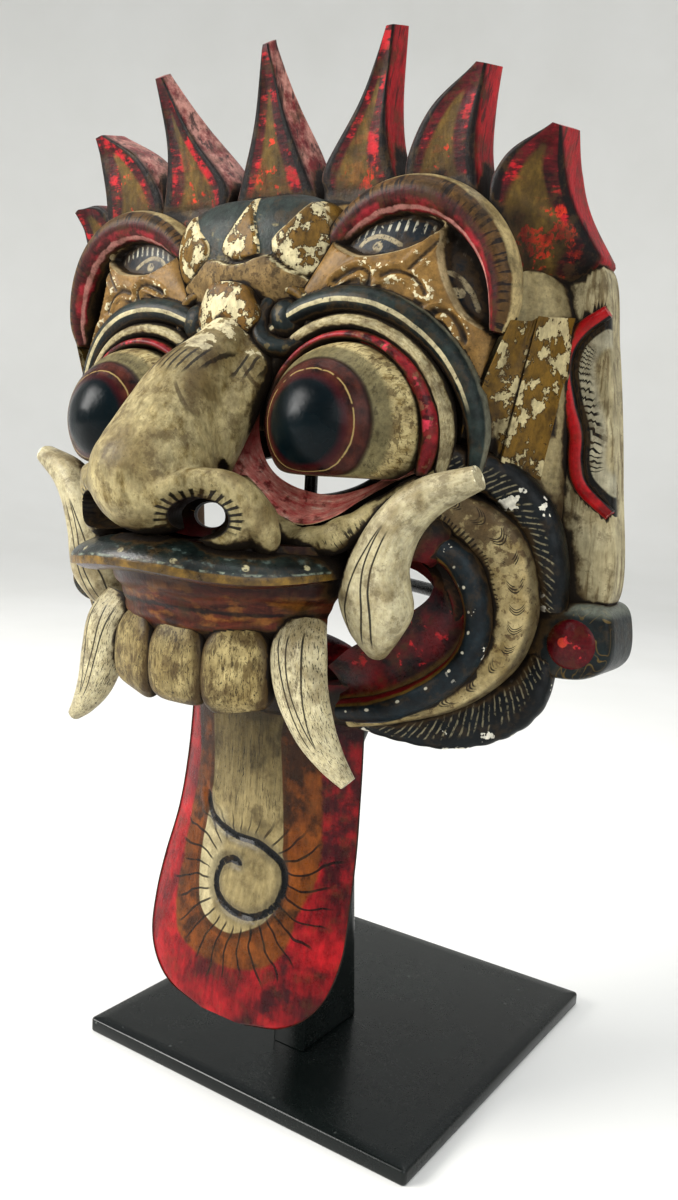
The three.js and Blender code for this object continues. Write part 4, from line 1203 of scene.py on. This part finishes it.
def gum_paint():
    f = Finish("gum_red")
    t, s, _ = f.measure("place")
    swirl = f.noise(0.5, 4, 0.6, at=f.join(s * 9, t * 16, 0.0), warp=1.2)
    colour = f.mix("250d09", "6b2c18", (swirl - 0.5) * 2.4 + 0.5)
    amber = f.noise(0.3, 4, 0.6, at=f.join(s * 14, t * 20, 3.0)).over(0.5, 0.66)
    colour = f.mix(colour, "8f5a24", amber * 0.8)
    colour = f.mix(colour, "0d0506", (t - 0.52 + (swirl - 0.5) * 0.12).near(0.0, 0.012, 0.03) * 0.9)
    colour = f.mix(colour, "160708", t.under(0.18, 0.4) * 0.85)
    arch = abs((s * 6.2).wave())
    scallop = t - 0.84 + arch * 0.1
    colour = f.mix(colour, "12070a", scallop.over(0.0, 0.05) * 0.92)
    colour = f.mix(colour, "b8182a", scallop.near(0.0, 0.02, 0.03) * arch.under(0.3, 0.5) * 0.9)
    return aged(f, colour, dirt=0.7, edge_chips_and_highlight=0.0, specks=0.4, under="9c6430", rough=0.36, grain=(1, 1, 0.3),
                tone=0.6)


def tooth_paint():
    f = Finish("tooth_ivory")
    t, c, _ = f.measure("place")
    grain = f.noise(0.9, 4, 0.7, (1, 1, 0.22))
    colour = f.mix("7a6536", "b8a774", (f.noise(0.1, 3) - 0.5) * 2.2 + 0.5)
    colour = f.mix(colour, "4a3716", (grain * 0.6 + f.noise(0.14, 4) * 0.4).over(0.47, 0.58) * 0.75)
    colour = f.mix(colour, "1f160a", f.noise(1.6, 3, 0.7, (1, 1, 0.4)).over(0.56, 0.62) * 0.8)
    rim = (abs(c) * abs(c) + (t - 0.5) * (t - 0.5) * 2.6 + (f.noise(0.25, 3) - 0.5) * 0.3)
    colour = f.mix(colour, "3d2a10", rim.over(0.45, 0.85) * 0.85)
    colour = f.mix(colour, "0d0905", abs(c).over(0.9, 0.99) * 0.95)
    return aged(f, colour, dirt=1.1, edge_chips_and_highlight=0.05, specks=0.9, under="cdc196", rough=0.46, grain=(1, 1, 0.3),
                tone=0.45)


def tusk_paint(name, dashes):
    f = Finish(name)
    t, c, n = f.measure("place")
    grain = f.noise(0.7, 4, 0.65, at=f.join(t * 26, c * 9, n * 9))
    colour = f.mix("b0a172", "e0d6b2", (grain - 0.5) * 1.5 + 0.55)
    colour = f.mix(colour, "6b5424", (f.noise(0.07, 3) + t.under(0.0, 0.5) * 0.12).over(0.54, 0.72) * 0.6)
    dash = f.noise(1.0, 2, 0.6, at=f.join(t * 34, c * 30, n * 8)).over(0.57, 0.61)
    colour = f.mix(colour, "120d07", dash * dashes)
    squeeze = (1.02 - t).larger(0.05)
    lines = 0.0
    for offset in (-0.42, -0.05, 0.3):
        drawn = (c - squeeze * (offset * 1.5) - (t * 7 + offset * 9).wave() * 0.07).near(0.0, 0.02, 0.025)
        lines = drawn + lines
    lines = lines * t.over(0.1, 0.16) * t.under(0.66, 0.72) * n.over(0.0, 0.2)
    colour = f.mix(colour, "090705", lines.clip() * 0.95)
    return aged(f, colour, dirt=1.0, edge_chips_and_highlight=0.2, specks=0.6, under="e0d8b8", rough=0.44, tone=0.4)


def wood_paint():
    f = Finish("shell_wood")
    share, depth, x = f.measure("place")
    bare = f.mix("3d2a18", "6b4d2e", f.noise(0.3, 4, 0.6, (0.25, 1, 0.25)))
    tan = f.mix("6b5128", "9a7c48", f.noise(0.14, 4))
    pale = f.mix("7d6a3e", "bfb083", f.noise(0.3, 4, 0.6, (1, 1, 0.15)))
    dark = f.mix("0d0a07", "261c12", f.noise(0.2, 4))
    flank = f.mix("140f0b", "3d2a1a", f.noise(0.15, 4, 0.6, (1, 0.2, 1)))
    red = f.mix("2a0608", "7c1015", (f.noise(0.12, 4) - 0.5) * 2 + 0.4)
    colour = f.mix(dark, tan, f.z.over(284.0, 298.0) * x.under(0.4, 0.6))
    colour = f.mix(colour, pale, x.over(0.8, 0.88) * f.z.over(236.0, 250.0))
    mouth = f.z.over(164.0, 170.0) * f.z.under(226.0, 232.0) * share.under(0.82, 0.86)
    colour = f.mix(colour, red, mouth)
    colour = f.mix(colour, flank, depth.over(-0.62, -0.5) * share.over(0.84, 0.88))
    colour = f.mix(colour, bare, depth.over(-0.66, -0.6) * share.under(0.82, 0.86))
    return aged(f, colour, dirt=0.9, edge_chips_and_highlight=0.1, specks=0.5, under="a88c58", rough=0.55, tone=0.6)


def mouth_paint():
    f = Finish("mouth_red")
    _, v, _ = f.measure("place")
    colour = f.mix("16060a", "6e0f15", (f.noise(0.08, 5, 0.62) - 0.5) * 3.0 + 0.45)
    colour = f.mix(colour, "0b0508", f.noise(0.11, 4, 0.6).over(0.5, 0.6) * 0.8)
    colour = f.mix(colour, "b81c22", f.noise(0.16, 4).over(0.6, 0.65) * 0.85)
    ochre = f.mix("3c2a0e", "6e5220", f.noise(0.3, 3))
    colour = f.mix(colour, ochre, v.under(0.1, 0.2))
    return aged(f, colour, dirt=0.7, edge_chips_and_highlight=0.0, specks=0.4, under="a8702c", rough=0.3, tone=0.6)


def loop_paint():
    f = Finish("lip_loop_navy")
    t, c, _ = f.measure("place")
    c = c + (f.noise(0.2) - 0.5) * 0.2
    navy = f.mix("06090c", "1b2a31", (f.noise(0.18, 4) - 0.5) * 1.8 + 0.4)
    spread = f.noise(1.0, 1, at=f.join(t * 15, 0.0, 2.0)) * 4 - 2
    dot = f.length((t * 13.0).part() * 11 - 5.5 + spread, c * 7 - 0.7 + spread * 0.5, 0.0)
    navy = f.mix(navy, "d8d2bb", dot.under(0.5, 0.9))
    navy = f.mix(navy, "e8e3d2", f.noise(0.11, 4, 0.6).over(0.625, 0.635) * t.under(0.6, 0.7))
    ochre = f.mix("463310", "735823", f.noise(0.3, 3))
    red = f.mix("2f080a", "86141a", f.noise(0.15, 4))
    colour = f.mix(navy, ochre, c.over(0.42, 0.5))
    colour = f.mix(colour, red, c.over(0.62, 0.7))
    return aged(f, colour, dirt=0.7, edge_chips_and_highlight=0.0, specks=0.3, under="d6cfb4", rough=0.4)


def skin_paint():
    f = Finish("jaw_tan")
    t, c, _ = f.measure("place")
    colour = f.mix("7d6839", "c7b584", (f.noise(0.12, 4) - 0.5) * 2.2 + 0.5)
    shade = (f.noise(0.3, 4, 0.65) + t.under(0.12, 0.4) * 0.16).over(0.52, 0.64)
    colour = f.mix(colour, "46301a", shade * 0.8)
    comb = (t * 420 + c * 3).wave().over(0.0, 0.5) * (c + (f.noise(0.4, 2) - 0.5) * 0.5).over(0.26, 0.36)
    colour = f.mix(colour, "0c0806", comb * 0.92)
    bow = (t * 15 + abs(c + 0.45) * abs(c + 0.45) * 3.2).part()
    tick = bow.near(0.5, 0.022, 0.025) + (bow - 0.12).near(0.5, 0.02, 0.025)
    tick = tick + (bow + 0.12).near(0.5, 0.018, 0.025)
    tick = tick * abs(c + 0.45).under(0.24, 0.34)
    colour = f.mix(colour, "0e0906", tick.clip() * f.noise(0.2, 2).over(0.36, 0.46) * 0.92)
    colour = f.mix(colour, "1d150d", c.under(-0.95, -0.8) * 0.7)
    return aged(f, colour, dirt=1.0, edge_chips_and_highlight=0.1, specks=0.9, rough=0.48, tone=0.55)


def hair_paint():
    f = Finish("hair_black")
    t, c, n = f.measure("place")
    colour = f.mix("030506", "121b1f", (f.noise(0.12, 4) - 0.5) * 2.0 + 0.4)
    lean = (t * 30 + c * 2.0 + (f.noise(0.1) - 0.5) * 1.2).part()
    stroke = lean.near(0.5, 0.09, 0.08) * abs(c - 0.05 + (f.noise(0.2) - 0.5) * 0.6).under(0.42, 0.6)
    stroke = stroke * n.over(-0.2, 0.1)
    colour = f.mix(colour, "8f866a", stroke * f.noise(0.5, 3).over(0.4, 0.54) * 0.85)
    colour = f.mix(colour, "e8e3d2", f.noise(0.09, 4, 0.6).over(0.62, 0.63))
    return aged(f, colour, dirt=0.5, edge_chips_and_highlight=-0.2, specks=0.2, under="cfcab6", rough=0.42)


def ear_paint():
    f = Finish("ear_ivory")
    off, along, _ = f.measure("mark")
    streak = f.noise(0.4, 4, 0.65, (1, 1, 0.12))
    colour = f.mix("93835a", "cdc29c", (f.noise(0.1, 3) - 0.5) * 1.4 + 0.55)
    colour = f.mix(colour, "574019", streak.over(0.5, 0.64) * 0.7)
    _, depth, _ = f.measure("place")
    inside = off.over(0.0, 0.4) * depth.under(3.0, 6.0)
    grey = f.mix("8f8b74", "c2bba2", f.noise(0.2, 3))
    colour = f.mix(colour, grey, inside * off.under(9.0, 11.0) * 0.8)
    colour = f.mix(colour, "070606", inside * off.under(4.3, 4.9))
    slant = (along * 30 - off * 0.16).part()
    hatch = slant.near(0.5, 0.13, 0.08) * off.over(3.0, 3.6) * off.under(7.5, 9.5) * inside
    colour = f.mix(colour, "0b0907", hatch * along.over(0.14, 0.2) * along.under(0.8, 0.86))
    return aged(f, colour, dirt=1.0, edge_chips_and_highlight=0.25, specks=0.6, rough=0.48, grain=(1, 1, 0.2), tone=0.45)


def ear_band_paint():
    f = Finish("ear_red")
    t, c, _ = f.measure("place")
    colour = f.mix("8e0d14", "cc1b1f", f.noise(0.12, 4))
    colour = f.mix(colour, "440a0c", t.over(0.6, 0.85) * f.noise(0.12, 3).over(0.4, 0.6) * 0.8)
    colour = f.mix(colour, "070606", c.under(-0.8, -0.62))
    return aged(f, colour, dirt=0.5, edge_chips_and_highlight=-0.05, specks=0.3, under="d89a88", rough=0.32)


def earring_paint():
    f = Finish("earring_teal")
    share, depth, _ = f.measure("place")
    colour = f.mix("060b0b", "1d2a2c", (f.noise(0.12, 4) - 0.5) * 1.8 + 0.4)
    swirl = f.noise(0.09, 1, 0.5, warp=1.5)
    strokes = (swirl * 7).part().near(0.5, 0.05, 0.06) * share.over(0.56, 0.64) * depth.under(1.0, 3.0)
    colour = f.mix(colour, "6b5526", strokes * 0.75)
    colour = f.mix(colour, "8f9484", f.z.over(205.0, 208.5) * 0.6)
    return aged(f, colour, dirt=0.7, edge_chips_and_highlight=0.0, specks=0.3, under="a3a48c", rough=0.36, tone=0.6)


def jewel_paint():
    f = Finish("jewel_maroon")
    x, _, z = f.measure("place")
    colour = f.mix("36060c", "6e1018", f.noise(0.15, 4))
    dot = f.length(x + 0.25, 0.0, z - 0.05)
    colour = f.mix(colour, "e8422a", dot.under(0.16, 0.22) * 0.9)
    colour = f.mix(colour, "c22a2e", f.noise(0.2, 3).over(0.62, 0.66) * 0.8)
    return aged(f, colour, dirt=0.5, edge_chips_and_highlight=0.0, specks=0.3, under="c24a3a", rough=0.22)


def flaked(f, gold, pale, amount):
    """Old gold lost in patches with brown edges down to a pale ground, and how deep the patches lie."""
    patch = f.noise(0.16, 5, 0.64)
    colour = f.mix(gold, "4f3a14", f.noise(0.3, 4).over(0.46, 0.7) * 0.8)
    colour = f.mix(colour, "2a1d0c", patch.near(amount - 0.01, 0.008, 0.014) * 0.85)
    colour = f.mix(colour, pale, patch.over(amount, amount + 0.012))
    return colour, patch.over(amount, amount + 0.02) * -0.5


def flaking_paint(name, gold, pale, amount):
    f = Finish(name)
    colour, height = flaked(f, gold, pale, amount)
    return aged(f, colour, dirt=0.95, edge_chips_and_highlight=0.15, specks=0.6, rough=0.48, grain=(1, 1, 0.4), height=height)


def medallion_paint():
    f = Finish("medallion_slate")
    _, low, x = f.measure("place")
    petal, _, _ = f.measure("mark")
    slate = f.mix("0d1413", "36413c", (f.noise(0.15, 4) - 0.5) * 2.0 + 0.5)
    slate = f.mix(slate, "7d724c", (f.noise(0.2, 4, 0.6) + (330.0 - f.z) * 0.012).over(0.58, 0.72) * 0.8)
    gold, height = flaked(f, "7a5a22", "dccfa2", 0.5)
    bare = f.mix("5c3f12", "96722c", f.noise(0.4, 4, 0.6, (1, 1, 0.2)))
    tan = f.mix("6b5028", "a58a5a", f.noise(0.25, 5, 0.65))
    colour = f.mix(slate, bare, abs(x).over(0.95, 1.1))
    colour = f.mix(colour, "cbb98a", petal.near(0.0, 0.25, 0.3) * f.noise(0.4, 3).over(0.4, 0.5))
    colour = f.mix(colour, gold, petal.over(0.0, 0.4))
    colour = f.mix(colour, tan, low)
    colour = f.mix(colour, "3d2a12", low * f.noise(0.5, 4, 0.7).over(0.5, 0.6) * 0.7)
    colour = f.mix(colour, "dccfa2", low.near(0.5, 0.3, 0.2) * f.noise(0.4, 3).over(0.4, 0.55))
    return aged(f, colour, dirt=0.9, edge_chips_and_highlight=0.1, specks=0.8, rough=0.46, grain=(1, 1, 0.4), tone=0.6,
                height=height * petal.over(0.0, 0.4))


def scroll_paint():
    f = Finish("scroll_dark")
    colour = f.mix("060909", "223030", (f.noise(0.25, 4) - 0.5) * 2.0 + 0.4)
    colour = f.mix(colour, "6b5c3a", f.noise(0.25, 3).over(0.6, 0.66) * 0.7)
    return aged(f, colour, dirt=1.2, edge_chips_and_highlight=0.0, specks=0.4, under="a89a70", rough=0.44)


def tongue_paint():
    f = Finish("tongue_red")
    _, s, side = f.measure("place")
    curl, ivory, orange = f.measure("mark")
    blur = (f.noise(0.2, 3) - 0.5) * 3
    long = f.noise(0.5, 4, 0.6, (1, 1, 0.12))
    red = f.mix("4a0a10", "b3181f", (f.noise(0.05, 3) - 0.5) * 2.8 + 0.5 + (long - 0.5) * 0.9)
    dusk = (f.noise(0.07, 4, 0.6) + f.z.over(100.0, 150.0) * 0.14).over(0.46, 0.64)
    red = f.mix(red, "250a10", dusk * s.over(0.1, 0.6) * 0.9)
    tan = f.mix("4d250b", "8c4a17", (f.noise(0.12, 4) - 0.5) * 1.8 + 0.5)
    tan = f.mix(tan, "1f1006", (f.noise(0.08, 4, 0.6) + f.z.over(110.0, 160.0) * 0.1).over(0.48, 0.64) * 0.85)
    bone = f.mix("5a4a24", "a8976a", f.z.under(110.0, 155.0) * 0.6 + (long - 0.5) * 0.9 + 0.15)
    stain = (f.noise(0.1, 4, 0.6) + f.z.over(110.0, 165.0) * 0.1).over(0.5, 0.66)
    bone = f.mix(bone, "2f240e", stain * 0.7 * f.z.over(100.0, 118.0))
    bone = f.mix(bone, "c4b78e", f.x.under(-13.0, -9.0) * f.z.under(110.0, 118.0) * 0.7)
    colour = f.mix(red, tan, (orange + blur).over(-0.8, 1.0))
    colour = f.mix(colour, "2a1a09", (ivory + blur * 0.2).near(-0.6, 0.8, 1.2) * 0.6)
    colour = f.mix(colour, bone, (ivory + blur * 0.12).over(-0.3, 0.4))
    angle = f.node("ShaderNodeMath", {"operation": "ARCTAN2"}, {0: f.z - 92.0, 1: f.x - 2.0})
    reach = f.length(f.x - 2.0, 0.0, f.z - 92.0)
    wiggle = (reach * 0.3).wave() * 0.03 + (f.noise(0.06, 2) - 0.5) * 0.22
    ray = ((angle + wiggle) * 4.6).part().near(0.5, 1.3 / reach, 1.1 / reach)
    length = f.noise(1.0, 1, at=f.join(angle * 4, 0.0, 0.0)) * 26 + 26
    span = reach.over(16.0, 19.0) * (length - reach).over(0.0, 4.0) * f.z.under(108.0, 120.0)
    colour = f.mix(colour, "0c0705", ray * span * 0.92)
    colour = f.mix(colour, "4f4838", curl.under(2.2, 5.0) * ivory.over(-1.0, 0.5) * 0.55)
    colour = f.mix(colour, "06080a", (curl + blur * 0.08).under(1.2, 1.6) * ivory.over(-4.0, -2.0))
    crack = f.noise(0.5, 3, 0.6, (1.4, 1, 0.07), warp=0.6).near(0.5, 0.006, 0.012) * f.z.over(112.0, 122.0)
    colour = f.mix(colour, "110a05", crack * ivory.over(0.0, 2.0) * 0.85)
    back = f.mix("2a0f0b", "561d15", long)
    colour = f.mix(back, colour, side.over(-0.2, 0.2))
    return aged(f, colour, dirt=0.6, edge_chips_and_highlight=-0.1, specks=0.35, under="c9a08a", rough=0.3, grain=(1, 1, 0.2))


def steel_paint():
    f = Finish("black_steel")
    fine = f.noise(0.9, 4, 0.6)
    broad = f.noise(0.03, 3)
    colour = f.mix("030605", "0b1110", broad)
    dust = f.cells(0.11).under(0.02, 0.1) * f.noise(0.3, 2).over(0.54, 0.62)
    dust = (dust + f.noise(2.2, 2).over(0.76, 0.8)).clip()
    colour = f.mix(colour, "8a908a", dust * 0.3)
    scuff = f.noise(0.4, 4, 0.7, (0.1, 1, 1)).over(0.66, 0.72)
    colour = f.mix(colour, "2a312e", scuff * 0.25)
    rough = 0.26 + (broad - 0.5) * 0.2 + (fine - 0.5) * 0.14 + dust * 0.25
    return f.finish(colour, rough, fine * 0.03, {"Specular IOR Level": 0.28})


def finishes():
    made = {
        "flame": flame_paint(), "brow": brow_paint(), "leaf": leaf_paint(), "lid_band": lid_band_paint(),
        "lid_rim": cream_paint(), "lid_red": lid_red_paint(), "eye": eye_paint(), "trough": trough_paint(),
        "nose": nose_paint(), "fold": fold_paint(), "lip": lip_paint(), "gum": gum_paint(),
        "tooth": tooth_paint(), "fang": tusk_paint("fang_ivory", 0.8), "tusk": tusk_paint("tusk_ivory", 0.15),
        "wood": wood_paint(), "mouth": mouth_paint(), "lip_loop": loop_paint(), "jaw_skin": skin_paint(),
        "hair": hair_paint(), "ear": ear_paint(), "ear_band": ear_band_paint(), "earring": earring_paint(),
        "jewel": jewel_paint(), "medallion": medallion_paint(), "scroll": scroll_paint(),
        "tongue": tongue_paint(),
        "temple": flaking_paint("temple_gold", "73551c", "c9b98a", 0.54),
        "pendant": flaking_paint("pendant_gold", "7a5824", "dccfa2", 0.49),
    }
    made["scroll_rim"] = made["temple"]
    return made


# Pieces that stand for the solids
def made_piece(name, points, faces, materials, index=None, vectors=None):
    """Mesh piece in metres with its finishes and the measures its paint reads."""
    mesh = bpy.data.meshes.new(name)
    mesh.from_pydata((points * MM).tolist(), [], faces.tolist())
    for material in materials:
        mesh.materials.append(material)
    if index is not None:
        mesh.polygons.foreach_set("material_index", index.astype(np.int32))
    for key, values in (vectors or {}).items():
        layer = mesh.attributes.new(key, "FLOAT_VECTOR", "POINT")
        layer.data.foreach_set("vector", values.astype(np.float32).ravel())
    mesh.polygons.foreach_set("use_smooth", np.ones(len(faces), bool))
    mesh.set_sharp_from_angle(angle=math.radians(48))
    mesh.update()
    piece = bpy.data.objects.new(name, mesh)
    bpy.context.scene.collection.objects.link(piece)
    return piece


def mask_pieces():
    """The carved mask in three pieces, so that each keeps its finest relief: face, crest and mouth."""
    bodies = mask_bodies()
    paints = finishes()
    ends = np.cumsum([len(body.points) for body in bodies])[:-1]
    for body, wear in zip(bodies, np.split(weathering(*joined(bodies)), ends)):
        body.wear = wear
    face_paints = tuple(sorted(set(paints) - {*CREST_PAINTS, *MOUTH_PAINTS}))
    parts = {"carved_mask": face_paints, "carved_crest": CREST_PAINTS, "carved_mouth": MOUTH_PAINTS}
    pieces = []
    for name, chosen in parts.items():
        group = [body for body in bodies if body.paint in chosen]
        index = np.concatenate([np.full(len(body.faces), chosen.index(body.paint)) for body in group])
        vectors = {key: np.vstack([getattr(body, key) for body in group]) for key in MEASURES}
        pieces.append(made_piece(name, *joined(group), [paints[paint] for paint in chosen], index, vectors))
    return pieces


def plate_piece(steel):
    sides = 48
    turn = full_turn(sides) + np.pi / sides
    ring = np.stack([np.cos(turn), np.sin(turn)], -1)
    rows = []
    for inset, z in PLATE_EDGE:
        straight = PLATE_HALF - PLATE_CORNER - max(0, inset - PLATE_CORNER)
        flat = np.sign(ring) * straight + ring * (PLATE_CORNER - min(PLATE_CORNER, inset))
        rows.append(np.column_stack([flat, np.full(sides, z)]))
    rings = np.array(rows)
    body = loft(rings, rings, "steel")
    return made_piece("steel_base_plate", body.points, body.faces, [steel])


def post_piece(steel):
    count = 108
    ring = corners(POST_PROFILE, count) + (0, POST_FOOT)
    after = np.roll(ring, -1, 0) - np.roll(ring, 1, 0)
    normal = unit(np.stack([-after[:, 1], after[:, 0]], -1))
    rows = []
    for x, inset in POST_EDGE:
        rows.append(np.column_stack([np.full(count, x), ring + normal * inset]))
    points = np.vstack(rows)
    caps = np.array(tessellate_polygon([[Vector((y, z, 0)) for y, z in rows[0][:, 1:]]]))
    a, b, c = (rows[0][caps[0, k], 1:] for k in range(3))
    forward = np.cross(b - a, c - a) > 0
    caps = caps if forward == (np.cross(ring, np.roll(ring, -1, 0)).sum() > 0) else caps[:, ::-1]
    faces = np.vstack([strips(len(rows), count, True), caps[:, ::-1], caps + count * (len(rows) - 1)])
    return made_piece("steel_post", points, outward(points, faces), [steel])


def cradle_piece(steel):
    thick = (ROD_RADIUS, ROD_RADIUS)
    rod = sweep([(*p, *thick) for p in ROD_PATH], "steel", steps=90, sides=20, front=SIDEWAYS)
    arm = sweep([(*p, *thick) for p in ARM_PATH], "steel", steps=24, sides=20, front=UP)
    weld = ball(ARM_PATH[0], (4.2, 4.2, 4.6), "steel", sides=20, rows=12)
    return made_piece("steel_cradle", *joined([rod, *both([arm]), weld]), [steel])


steel = steel_paint()
standing = [(carving, "mask", "painted_wood") for carving in mask_pieces()]
standing += [(plate_piece(steel), "base_plate", "black_steel"), (post_piece(steel), "post", "black_steel"),
             (cradle_piece(steel), "cradle", "black_steel")]
for piece, node, slot in standing:
    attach(piece, "root")
    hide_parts(node)


# Pale floor that curves up into a round wall, soft lamps, and the camera where the photographer stood
def floor_paint():
    f = Finish("pale_floor")
    colour = f.mix("dcdcd8", "e8e8e6", f.noise(0.004, 3))
    return f.finish(colour, f.noise(0.01, 2) * 0.1 + 0.7, f.noise(0.2, 2) * 0.05, {"Specular IOR Level": 0.2})


def stage():
    sides = 96
    turn = full_turn(sides)
    ring = np.stack([np.cos(turn), np.sin(turn)], -1)
    profile = spline(((1, 0), (900, 0), (1700, 0), (2300, 90), (2700, 420), (2850, 1000), (2900, 2000)), 40)
    rings = [np.column_stack([radius * ring, np.full(sides, max(z, 0))]) for radius, z in profile]
    floor = made_piece("floor", np.vstack(rings), strips(len(profile), sides, True), [floor_paint()])


def lamp(name, at, aim, size, power, tint):
    light = bpy.data.lights.new(name, "AREA")
    light.shape = "RECTANGLE"
    light.size, light.size_y = size
    light.energy = power
    light.color = tint
    holder = bpy.data.objects.new(name, light)
    holder.location = at
    holder.rotation_euler = (Vector(at) - Vector(aim)).to_track_quat("Z", "Y").to_euler()
    bpy.context.scene.collection.objects.link(holder)


def camera():
    turn, tilt, roll = (math.radians(a) for a in CAMERA_TURNS)
    right = Vector((math.cos(turn), math.sin(turn), 0))
    back = Vector((math.sin(turn) * math.cos(tilt), -math.cos(turn) * math.cos(tilt), math.sin(tilt)))
    up = back.cross(right)
    across = math.cos(roll) * right + math.sin(roll) * up
    upright = math.cos(roll) * up - math.sin(roll) * right
    lens = bpy.data.cameras.new("camera")
    lens.lens = CAMERA_LENS
    lens.sensor_width = CAMERA_SENSOR
    lens.clip_start = 0.01
    holder = bpy.data.objects.new("camera", lens)
    place = Matrix((across, upright, back)).transposed().to_4x4()
    place.translation = CAMERA_AT
    holder.matrix_world = place
    bpy.context.scene.collection.objects.link(holder)
    bpy.context.scene.camera = holder


stage()
lamp("window", (-1.1, -1.2, 1.1), LAMP_AIM, size=(0.9, 0.9), power=50, tint=(1.0, 0.98, 0.95))
lamp("room", (1.3, -0.9, 0.9), LAMP_AIM, size=(1.2, 1.2), power=14, tint=(0.95, 0.98, 1.0))
lamp("ceiling", (0.1, 0.2, 1.7), (0, 0, 0.2), size=(1.6, 1.6), power=16, tint=(1.0, 1.0, 1.0))
bpy.context.scene.view_settings.view_transform = "Standard"
world = bpy.data.worlds.new("room_light")
world.use_nodes = True
world.node_tree.nodes["Background"].inputs[0].default_value = (0.9, 0.92, 0.95, 1)
world.node_tree.nodes["Background"].inputs[1].default_value = 0.5
bpy.context.scene.world = world
camera()
